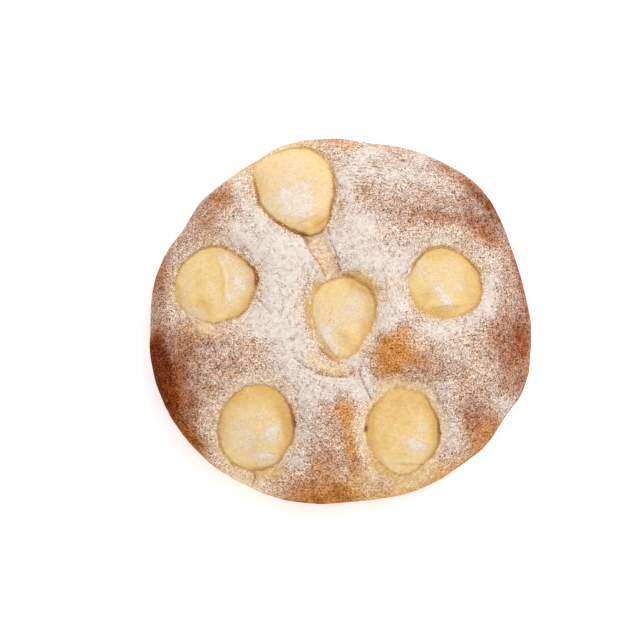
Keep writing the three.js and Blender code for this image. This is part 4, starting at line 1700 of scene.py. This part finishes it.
# How one thing follows another: from where to where, and what it is at either end if not 0 and 1.
SHADE_BY_SUGAR = (0.6, 1.0, 0.0, 0.7)
OCHRE_BY_SOAKING = (0.05, 1.05, 0.0, 0.9)
COVER_BY_SUGAR = (-0.15, 1.2)
WHITE_BY_TONE = (0.30, 0.56)
SPECKS_BY_COVER = (0.5, 1.0, 4.6, 0.4)
SPECKS_BY_MOISTURE = (0.1, 0.9, 1.0, 0.4)
SPECKS_BY_DUSTING = (NO_SPECKS, 0.7)
WHITENESS_BY_COVER = (0.0, 0.6, 0.06, 0.2)
CRUST_ROUGHNESS_BY_COVER = (0, 1, 0.6, 0.95)
GROOVE_BY_DISTANCE = (0.0, 0.45, 1.0, 0.0)
CREASE_BY_DISTANCE = (0.3, 1.1, 1.0, 0.0)
CREASE_BY_BREAKS = (0.2, 0.5)
WRINKLE_BY_WAVE = (0.4, 0.95, 0.0, 1.1)
WRINKLE_BY_BREAKS = (0.40, 0.56)
CRAZING_BY_DISTANCE = (0.0, 0.018, 1.0, 0.0)
CRAZING_BY_BREAKS = (0.48, 0.58)
CRAZING_BY_SUGAR = (0.5, 0.85)
SMEARS_BY_SUGAR = (0.0, 0.4, 0.2, 1.3)
CREAM_COVER_BY_SUGAR = (-0.1, 1.2)
CREAM_WHITE_BY_SUGAR = (0.85, 1.15, 0.0, 0.55)
CREAM_SPECKS_BY_COVER = (0.0, 1.0, 0.35, 0.65)
CREAM_ROUGHNESS_BY_COVER = (0, 1, 0.5, 0.85)
GRAINS_WHITE_BY_DUST = (0.0, 0.8)


def crust_material():
    material, tree, shader, place = new_material("baked_crust_under_sugar")
    sugar = attribute(tree, "sugar")
    ochre = soaked_dough(tree, place)
    groove, crease = pool_grooves(tree, place), crease_lines(tree, place)
    crust = bare_crust(tree, place, sugar, ochre, groove, crease)
    furrow = reckon(tree, "ADD", wrinkle_waves(tree, place), crazing(tree, place, sugar))
    furrow = reckon(tree, "MAXIMUM", furrow, reckon(tree, "MAXIMUM", groove, crease))
    heaps = speckle_about_zero(tree, place, *SUGAR_HEAPS)
    thickness = reckon(tree, "MULTIPLY_ADD", heaps, HEAPS_IN_SUGAR, sugar)
    thickness = reckon(tree, "SUBTRACT", thickness, reckon(tree, "MULTIPLY", furrow, FURROW_BARENESS))
    thickness = reckon(tree, "SUBTRACT", thickness, ochre)
    cover = ranged(tree, thickness, *COVER_BY_SUGAR)
    white = ranged(tree, speckle(tree, place, *SUGAR_TONES), *WHITE_BY_TONE)
    white = mixed(tree, white, SUGAR_THIN_COLOUR, SUGAR_COLOUR)
    specks = speckle_about_zero(tree, place, *SUGAR_SPECKS)
    specks = reckon(tree, "MULTIPLY_ADD", heaps, HEAPS_IN_SPECKS, specks)
    moist = reckon(tree, "MAXIMUM", attribute(tree, "golden"), reckon(tree, "MAXIMUM", groove, ochre))
    for contrast in (
        ranged(tree, cover, *SPECKS_BY_COVER),
        ranged(tree, moist, *SPECKS_BY_MOISTURE),
        ranged(tree, attribute(tree, "dusted"), *SPECKS_BY_DUSTING),
    ):
        specks = reckon(tree, "MULTIPLY", specks, contrast)
    whiteness = ranged(tree, cover, *WHITENESS_BY_COVER)
    colour = speckled(tree, mixed(tree, cover, crust, white), specks, whiteness)
    feed(tree, shader.inputs["Base Color"], colour)
    feed(tree, shader.inputs["Roughness"], ranged(tree, cover, *CRUST_ROUGHNESS_BY_COVER))
    shader.inputs["Specular IOR Level"].default_value = 0.0
    grain = reckon(tree, "MULTIPLY", speckle(tree, place, *CRUST_GRAIN), CRUST_GRAIN_RISE)
    height = reckon(tree, "SUBTRACT", reckon(tree, "ADD", cover, grain), furrow)
    feed(tree, shader.inputs["Normal"], relief(tree, height))
    return material


def soaked_dough(tree, place):
    """How ochre the dough is, in spots where it has soaked up cream."""
    spots = speckle_about_zero(tree, place, *SOAKED_SPOTS)
    spots = reckon(tree, "MULTIPLY_ADD", spots, SOAKED_SPREAD, SOAKED_SHOWS)
    return ranged(tree, reckon(tree, "MULTIPLY", attribute(tree, "ochre"), spots), *OCHRE_BY_SOAKING)


def bare_crust(tree, place, sugar, ochre, groove, crease):
    """The crust's own colour, greyed where thick sugar shades it."""
    blotches = reckon(tree, "MULTIPLY", speckle_about_zero(tree, place, *BLOTCHES), BLOTCHINESS)
    crust = ramp(tree, reckon(tree, "ADD", attribute(tree, "browning"), blotches), CRUST_STOPS)
    crust = mixed(tree, ranged(tree, sugar, *SHADE_BY_SUGAR), crust, SUGAR_SHADE_COLOUR)
    mottle = speckle_about_zero(tree, place, *GOLDEN_MOTTLE)
    mottle = reckon(tree, "MULTIPLY_ADD", mottle, GOLDEN_SPREAD, GOLDEN_SHOWS)
    golden = reckon(tree, "MULTIPLY", attribute(tree, "golden"), mottle)
    crust = mixed(tree, golden, crust, GOLDEN_COLOUR)
    crust = mixed(tree, ochre, crust, OCHRE_COLOUR)
    crevice = mixed(tree, attribute(tree, "groove_brown"), CREVICE_OCHRE, CREVICE_BROWN)
    crust = mixed(tree, groove, crust, crevice)
    return mixed(tree, crease, crust, CREASE_COLOUR)


def pool_grooves(tree, place):
    """The thin groove between the dough and each pool, wavering in width."""
    waver = reckon(tree, "MULTIPLY", speckle_about_zero(tree, place, *GROOVE_WAVER), GROOVE_WAVERS_BY)
    off = reckon(tree, "ADD", attribute(tree, "groove_off"), waver)
    brown = attribute(tree, "groove_brown")
    shows = reckon(tree, "MULTIPLY_ADD", brown, GROOVE_SHOWS_IF_BROWN, GROOVE_SHOWS)
    return reckon(tree, "MULTIPLY", ranged(tree, off, *GROOVE_BY_DISTANCE), shows)


def crease_lines(tree, place):
    """Creases as thin lines, wavering a little in place and darkness."""
    waver = speckle_about_zero(tree, place, *CREASE_WAVER)
    off = reckon(tree, "ABSOLUTE", reckon(tree, "ADD", attribute(tree, "crease_off"), waver))
    broken = ranged(tree, speckle(tree, place, *CREASE_BREAKS), *CREASE_BY_BREAKS)
    dark = reckon(tree, "MULTIPLY", attribute(tree, "crease_dark"), broken)
    return reckon(tree, "MULTIPLY", ranged(tree, off, *CREASE_BY_DISTANCE), dark)


def wrinkle_waves(tree, place):
    """Fine wrinkles as waves over the run that each place carries, wandering and breaking off."""
    wander = reckon(tree, "MULTIPLY", speckle(tree, place, *WRINKLE_WANDER), WRINKLES_WANDER_BY)
    run = reckon(tree, "MULTIPLY", attribute(tree, "wrinkle_run"), 2 * math.pi / WRINKLE_SPACING)
    wave = reckon(tree, "SINE", reckon(tree, "ADD", run, wander))
    broken = ranged(tree, speckle(tree, place, *WRINKLE_BREAKS), *WRINKLE_BY_BREAKS)
    wave = reckon(tree, "MULTIPLY", ranged(tree, wave, *WRINKLE_BY_WAVE), broken)
    return reckon(tree, "MULTIPLY", wave, attribute(tree, "wrinkled"))


def crazing(tree, place, sugar):
    """Thin broken lines where thick sugar has cracked over the dough."""
    off = reckon(tree, "ABSOLUTE", speckle_about_zero(tree, place, *CRAZING))
    line = ranged(tree, off, *CRAZING_BY_DISTANCE)
    broken = ranged(tree, speckle(tree, place, *CRAZING_BREAKS), *CRAZING_BY_BREAKS)
    thick = ranged(tree, sugar, *CRAZING_BY_SUGAR)
    return reckon(tree, "MULTIPLY", reckon(tree, "MULTIPLY", line, broken), thick)


def cream_material():
    material, tree, shader, place = new_material("baked_cream_cheese")
    mottle = reckon(tree, "MULTIPLY", speckle_about_zero(tree, place, *CREAM_MOTTLE), CREAM_MOTTLED)
    cream = ramp(tree, reckon(tree, "ADD", attribute(tree, "depth"), mottle), CREAM_STOPS)
    stain = mixed(tree, attribute(tree, "stain_brown"), CREVICE_OCHRE, CREVICE_BROWN)
    # The stain colour, also laid on as painted shade along some edges.
    cream = mixed(tree, attribute(tree, "stain"), cream, stain)
    sugar = attribute(tree, "sugar")
    smears = speckle_about_zero(tree, place, *CREAM_SMEARS)
    smears = reckon(tree, "MULTIPLY", smears, ranged(tree, sugar, *SMEARS_BY_SUGAR))
    thickness = reckon(tree, "ADD", sugar, smears)
    cover = ranged(tree, thickness, *CREAM_COVER_BY_SUGAR)
    colour = mixed(tree, reckon(tree, "MULTIPLY", cover, CREAM_SUGAR_SHOWS), cream, CREAM_SUGAR_COLOUR)
    colour = mixed(tree, ranged(tree, thickness, *CREAM_WHITE_BY_SUGAR), colour, SUGAR_COLOUR)
    specks = speckle_about_zero(tree, place, *CREAM_SPECKS)
    specks = reckon(tree, "MULTIPLY", specks, ranged(tree, cover, *CREAM_SPECKS_BY_COVER))
    # Painted light and shade: lighter and darker streaks for the small ripples in the cream's skin.
    ripple_shading = speckle_about_zero(tree, place, *CREAM_RIPPLE_SHADING)
    change = reckon(tree, "MULTIPLY_ADD", ripple_shading, CREAM_RIPPLE_SHADING_AMOUNT, specks)
    feed(tree, shader.inputs["Base Color"], speckled(tree, colour, change, CREAM_WHITENESS))
    feed(tree, shader.inputs["Roughness"], ranged(tree, cover, *CREAM_ROUGHNESS_BY_COVER))
    shader.inputs["Specular IOR Level"].default_value = 0.25
    grain = reckon(tree, "MULTIPLY", speckle(tree, place, *CREAM_GRAIN), CREAM_GRAIN_RISE)
    feed(tree, shader.inputs["Normal"], relief(tree, reckon(tree, "ADD", cover, grain)))
    return material


def sugar_material():
    """Grains are nearly clear: single ones take on the colour beneath them, and many together are white."""
    material, tree, shader, _ = new_material("icing_sugar_grain")
    single = mixed(tree, attribute(tree, "on_cream"), GRAIN_ON_CRUST_COLOUR, GRAIN_ON_CREAM_COLOUR)
    together = ranged(tree, attribute(tree, "dust"), *GRAINS_WHITE_BY_DUST)
    feed(tree, shader.inputs["Base Color"], mixed(tree, together, single, GRAINS_TOGETHER_COLOUR))
    shader.inputs["Roughness"].default_value = 0.9
    shader.inputs["Specular IOR Level"].default_value = 0.2
    return material


def grain_tree():
    """Scatters grains over a dusted surface, thickest where its dust attribute is high."""
    tree = bpy.data.node_groups.new("icing_sugar_scatter", "GeometryNodeTree")
    for name, kind in (
        ("Dusted Surface", "Geometry"),
        ("Grains per Square Metre", "Float"),
        ("Smallest Radius", "Float"),
        ("Largest Radius", "Float"),
        ("Grain Sides", "Int"),
        ("Seed", "Int"),
        ("Finish", "Material"),
    ):
        tree.interface.new_socket(name, in_out="INPUT", socket_type="NodeSocket" + kind)
    tree.interface.new_socket("Grains", in_out="OUTPUT", socket_type="NodeSocketGeometry")
    given = tree.nodes.new("NodeGroupInput").outputs
    dust = new_node(tree, "GeometryNodeInputNamedAttribute", {"Name": "dust"}, data_type="FLOAT")
    density = reckon(tree, "MULTIPLY", dust.outputs["Attribute"], given["Grains per Square Metre"])
    inputs = {"Mesh": given["Dusted Surface"], "Density": density, "Seed": given["Seed"]}
    scatter = new_node(tree, "GeometryNodeDistributePointsOnFaces", inputs, distribute_method="RANDOM")
    inputs = {"Segments": given["Grain Sides"], "Rings": GRAIN_RINGS, "Radius": 1.0}
    grain = new_node(tree, "GeometryNodeMeshUVSphere", inputs)
    inputs = {2: given["Smallest Radius"], 3: given["Largest Radius"], "Seed": given["Seed"]}
    radius = new_node(tree, "FunctionNodeRandomValue", inputs, data_type="FLOAT").outputs[1]
    inputs = {0: FLATTEST_GRAIN, 1: FULLEST_GRAIN}
    form = new_node(tree, "FunctionNodeRandomValue", inputs, data_type="FLOAT_VECTOR").outputs["Value"]
    inputs = {1: (2 * math.pi,) * 3}
    turn = new_node(tree, "FunctionNodeRandomValue", inputs, data_type="FLOAT_VECTOR").outputs["Value"]
    inputs = {
        "Points": scatter.outputs["Points"],
        "Instance": grain.outputs["Mesh"],
        "Rotation": turn,
        "Scale": reckon_vector(tree, "SCALE", {0: form, "Scale": radius}),
    }
    placed = new_node(tree, "GeometryNodeInstanceOnPoints", inputs).outputs["Instances"]
    real = new_node(tree, "GeometryNodeRealizeInstances", {"Geometry": placed}).outputs["Geometry"]
    smooth = new_node(tree, "GeometryNodeSetShadeSmooth", {"Geometry": real}).outputs["Geometry"]
    inputs = {"Geometry": smooth, "Material": given["Finish"]}
    painted = new_node(tree, "GeometryNodeSetMaterial", inputs).outputs["Geometry"]
    new_node(tree, "NodeGroupOutput", {"Grains": painted})
    return tree


def scattered_grains(name, tree, surface, settings):
    """One kind of sugar grain as a plain mesh piece, scattered over the dusted surface."""
    modifier = surface.modifiers.new(name, "NODES")
    modifier.node_group = tree
    for item in tree.interface.items_tree:
        if item.in_out == "INPUT" and item.name in settings:
            modifier[item.identifier] = settings[item.name]
    ready = surface.evaluated_get(bpy.context.evaluated_depsgraph_get())
    mesh = bpy.data.meshes.new_from_object(ready)
    mesh.name = name
    surface.modifiers.remove(modifier)
    return finish_piece(new_object(mesh), "sugar")


def dusted_surface(pieces):
    """A copy of the dusted pieces' faces, with how thickly grains lie on each point."""
    points, faces, dust, on_cream = [], [], [], []
    start = 0
    for piece in pieces:
        mesh = piece.data
        place = np.empty(len(mesh.vertices) * 3, np.float32)
        mesh.vertices.foreach_get("co", place)
        sugar = np.empty(len(mesh.vertices), np.float32)
        mesh.attributes["sugar"].data.foreach_get("value", sugar)
        mesh.calc_loop_triangles()
        triangles = np.empty(len(mesh.loop_triangles) * 3, np.int32)
        mesh.loop_triangles.foreach_get("vertices", triangles)
        points.append(place.reshape(-1, 3) / MM)
        faces.append(triangles.reshape(-1, 3) + start)
        is_cream = "stain" in mesh.attributes
        dust.append(sugar * GRAINS_LEFT_ON_CREAM if is_cream else sugar)
        on_cream.append(np.full(len(sugar), float(is_cream)))
        start += len(sugar)
    thick = np.clip(np.concatenate(dust), 0, 1) ** DUST_POWER
    maps = {"dust": thick, "on_cream": np.concatenate(on_cream)}
    mesh = new_mesh("dusted_surface", np.concatenate(points), [np.concatenate(faces)], maps, None)
    return new_object(mesh)


def icing_sugar(pieces):
    """Loose grains of every kind over the pieces."""
    surface = dusted_surface(pieces)
    tree = grain_tree()
    finish = sugar_material()
    for name, density, smallest, largest, sides, seed in GRAIN_KINDS:
        settings = {
            "Grains per Square Metre": density,
            "Smallest Radius": smallest * MM,
            "Largest Radius": largest * MM,
            "Grain Sides": sides,
            "Seed": seed,
            "Finish": finish,
        }
        scattered_grains(name, tree, surface, settings)
    bpy.data.objects.remove(surface)


def floor_material():
    material, tree, shader, place = new_material("pale_floor")
    colour = mixed(tree, speckle(tree, place, *FLOOR_CLOUDS), *FLOOR_COLOURS)
    feed(tree, shader.inputs["Base Color"], colour)
    shader.inputs["Roughness"].default_value = 0.9
    shader.inputs["Emission Color"].default_value = WHITE
    shader.inputs["Emission Strength"].default_value = FLOOR_GLOW
    return material


def pale_floor():
    half = FLOOR_HALF
    corners = np.array([[-half, -half, 0], [half, -half, 0], [half, half, 0], [-half, half, 0]])
    floor = new_object(new_mesh("pale_floor", corners, [np.array([[0, 1, 2, 3]])], {}, floor_material()))


def studio_light():
    """An even white room and one large soft lamp from the back right."""
    world = bpy.data.worlds.new("white_room")
    world.use_nodes = True
    background = world.node_tree.nodes["Background"]
    background.inputs["Color"].default_value = WHITE
    background.inputs["Strength"].default_value = ROOM_STRENGTH
    bpy.context.scene.world = world
    lamp = bpy.data.lights.new("soft_lamp", "AREA")
    lamp.shape = "DISK"
    lamp.size = LAMP_SIZE
    lamp.energy = LAMP_ENERGY
    made = new_object(lamp)
    azimuth, elevation = math.radians(LAMP_AZIMUTH), math.radians(LAMP_ELEVATION)
    made.location = (
        LAMP_DISTANCE * math.cos(elevation) * math.cos(azimuth),
        LAMP_DISTANCE * math.cos(elevation) * math.sin(azimuth),
        LAMP_DISTANCE * math.sin(elevation),
    )
    made.rotation_euler = (0, math.pi / 2 - elevation, azimuth)


def photo_camera():
    camera = bpy.data.cameras.new("camera")
    camera.lens = LENS
    camera.sensor_width = SENSOR
    camera.clip_start = CLIP_START
    made = new_object(camera)
    lean = math.radians(CAMERA_ELEVATION)
    back = np.array([0, -math.cos(lean), math.sin(lean)])
    made.location = tuple((np.array(CAMERA_TARGET) + CAMERA_DISTANCE * back) * MM)
    made.rotation_euler = (math.pi / 2 - lean, 0, 0)
    bpy.context.scene.camera = made


bpy.context.scene.view_settings.view_transform = "Standard"
photo_camera()
studio_light()
pale_floor()
dough = dough_piece(crust_material())
cream = cream_material()
pools = [cream_piece(pool, cream) for pool in POOLS]
icing_sugar([dough, *pools])
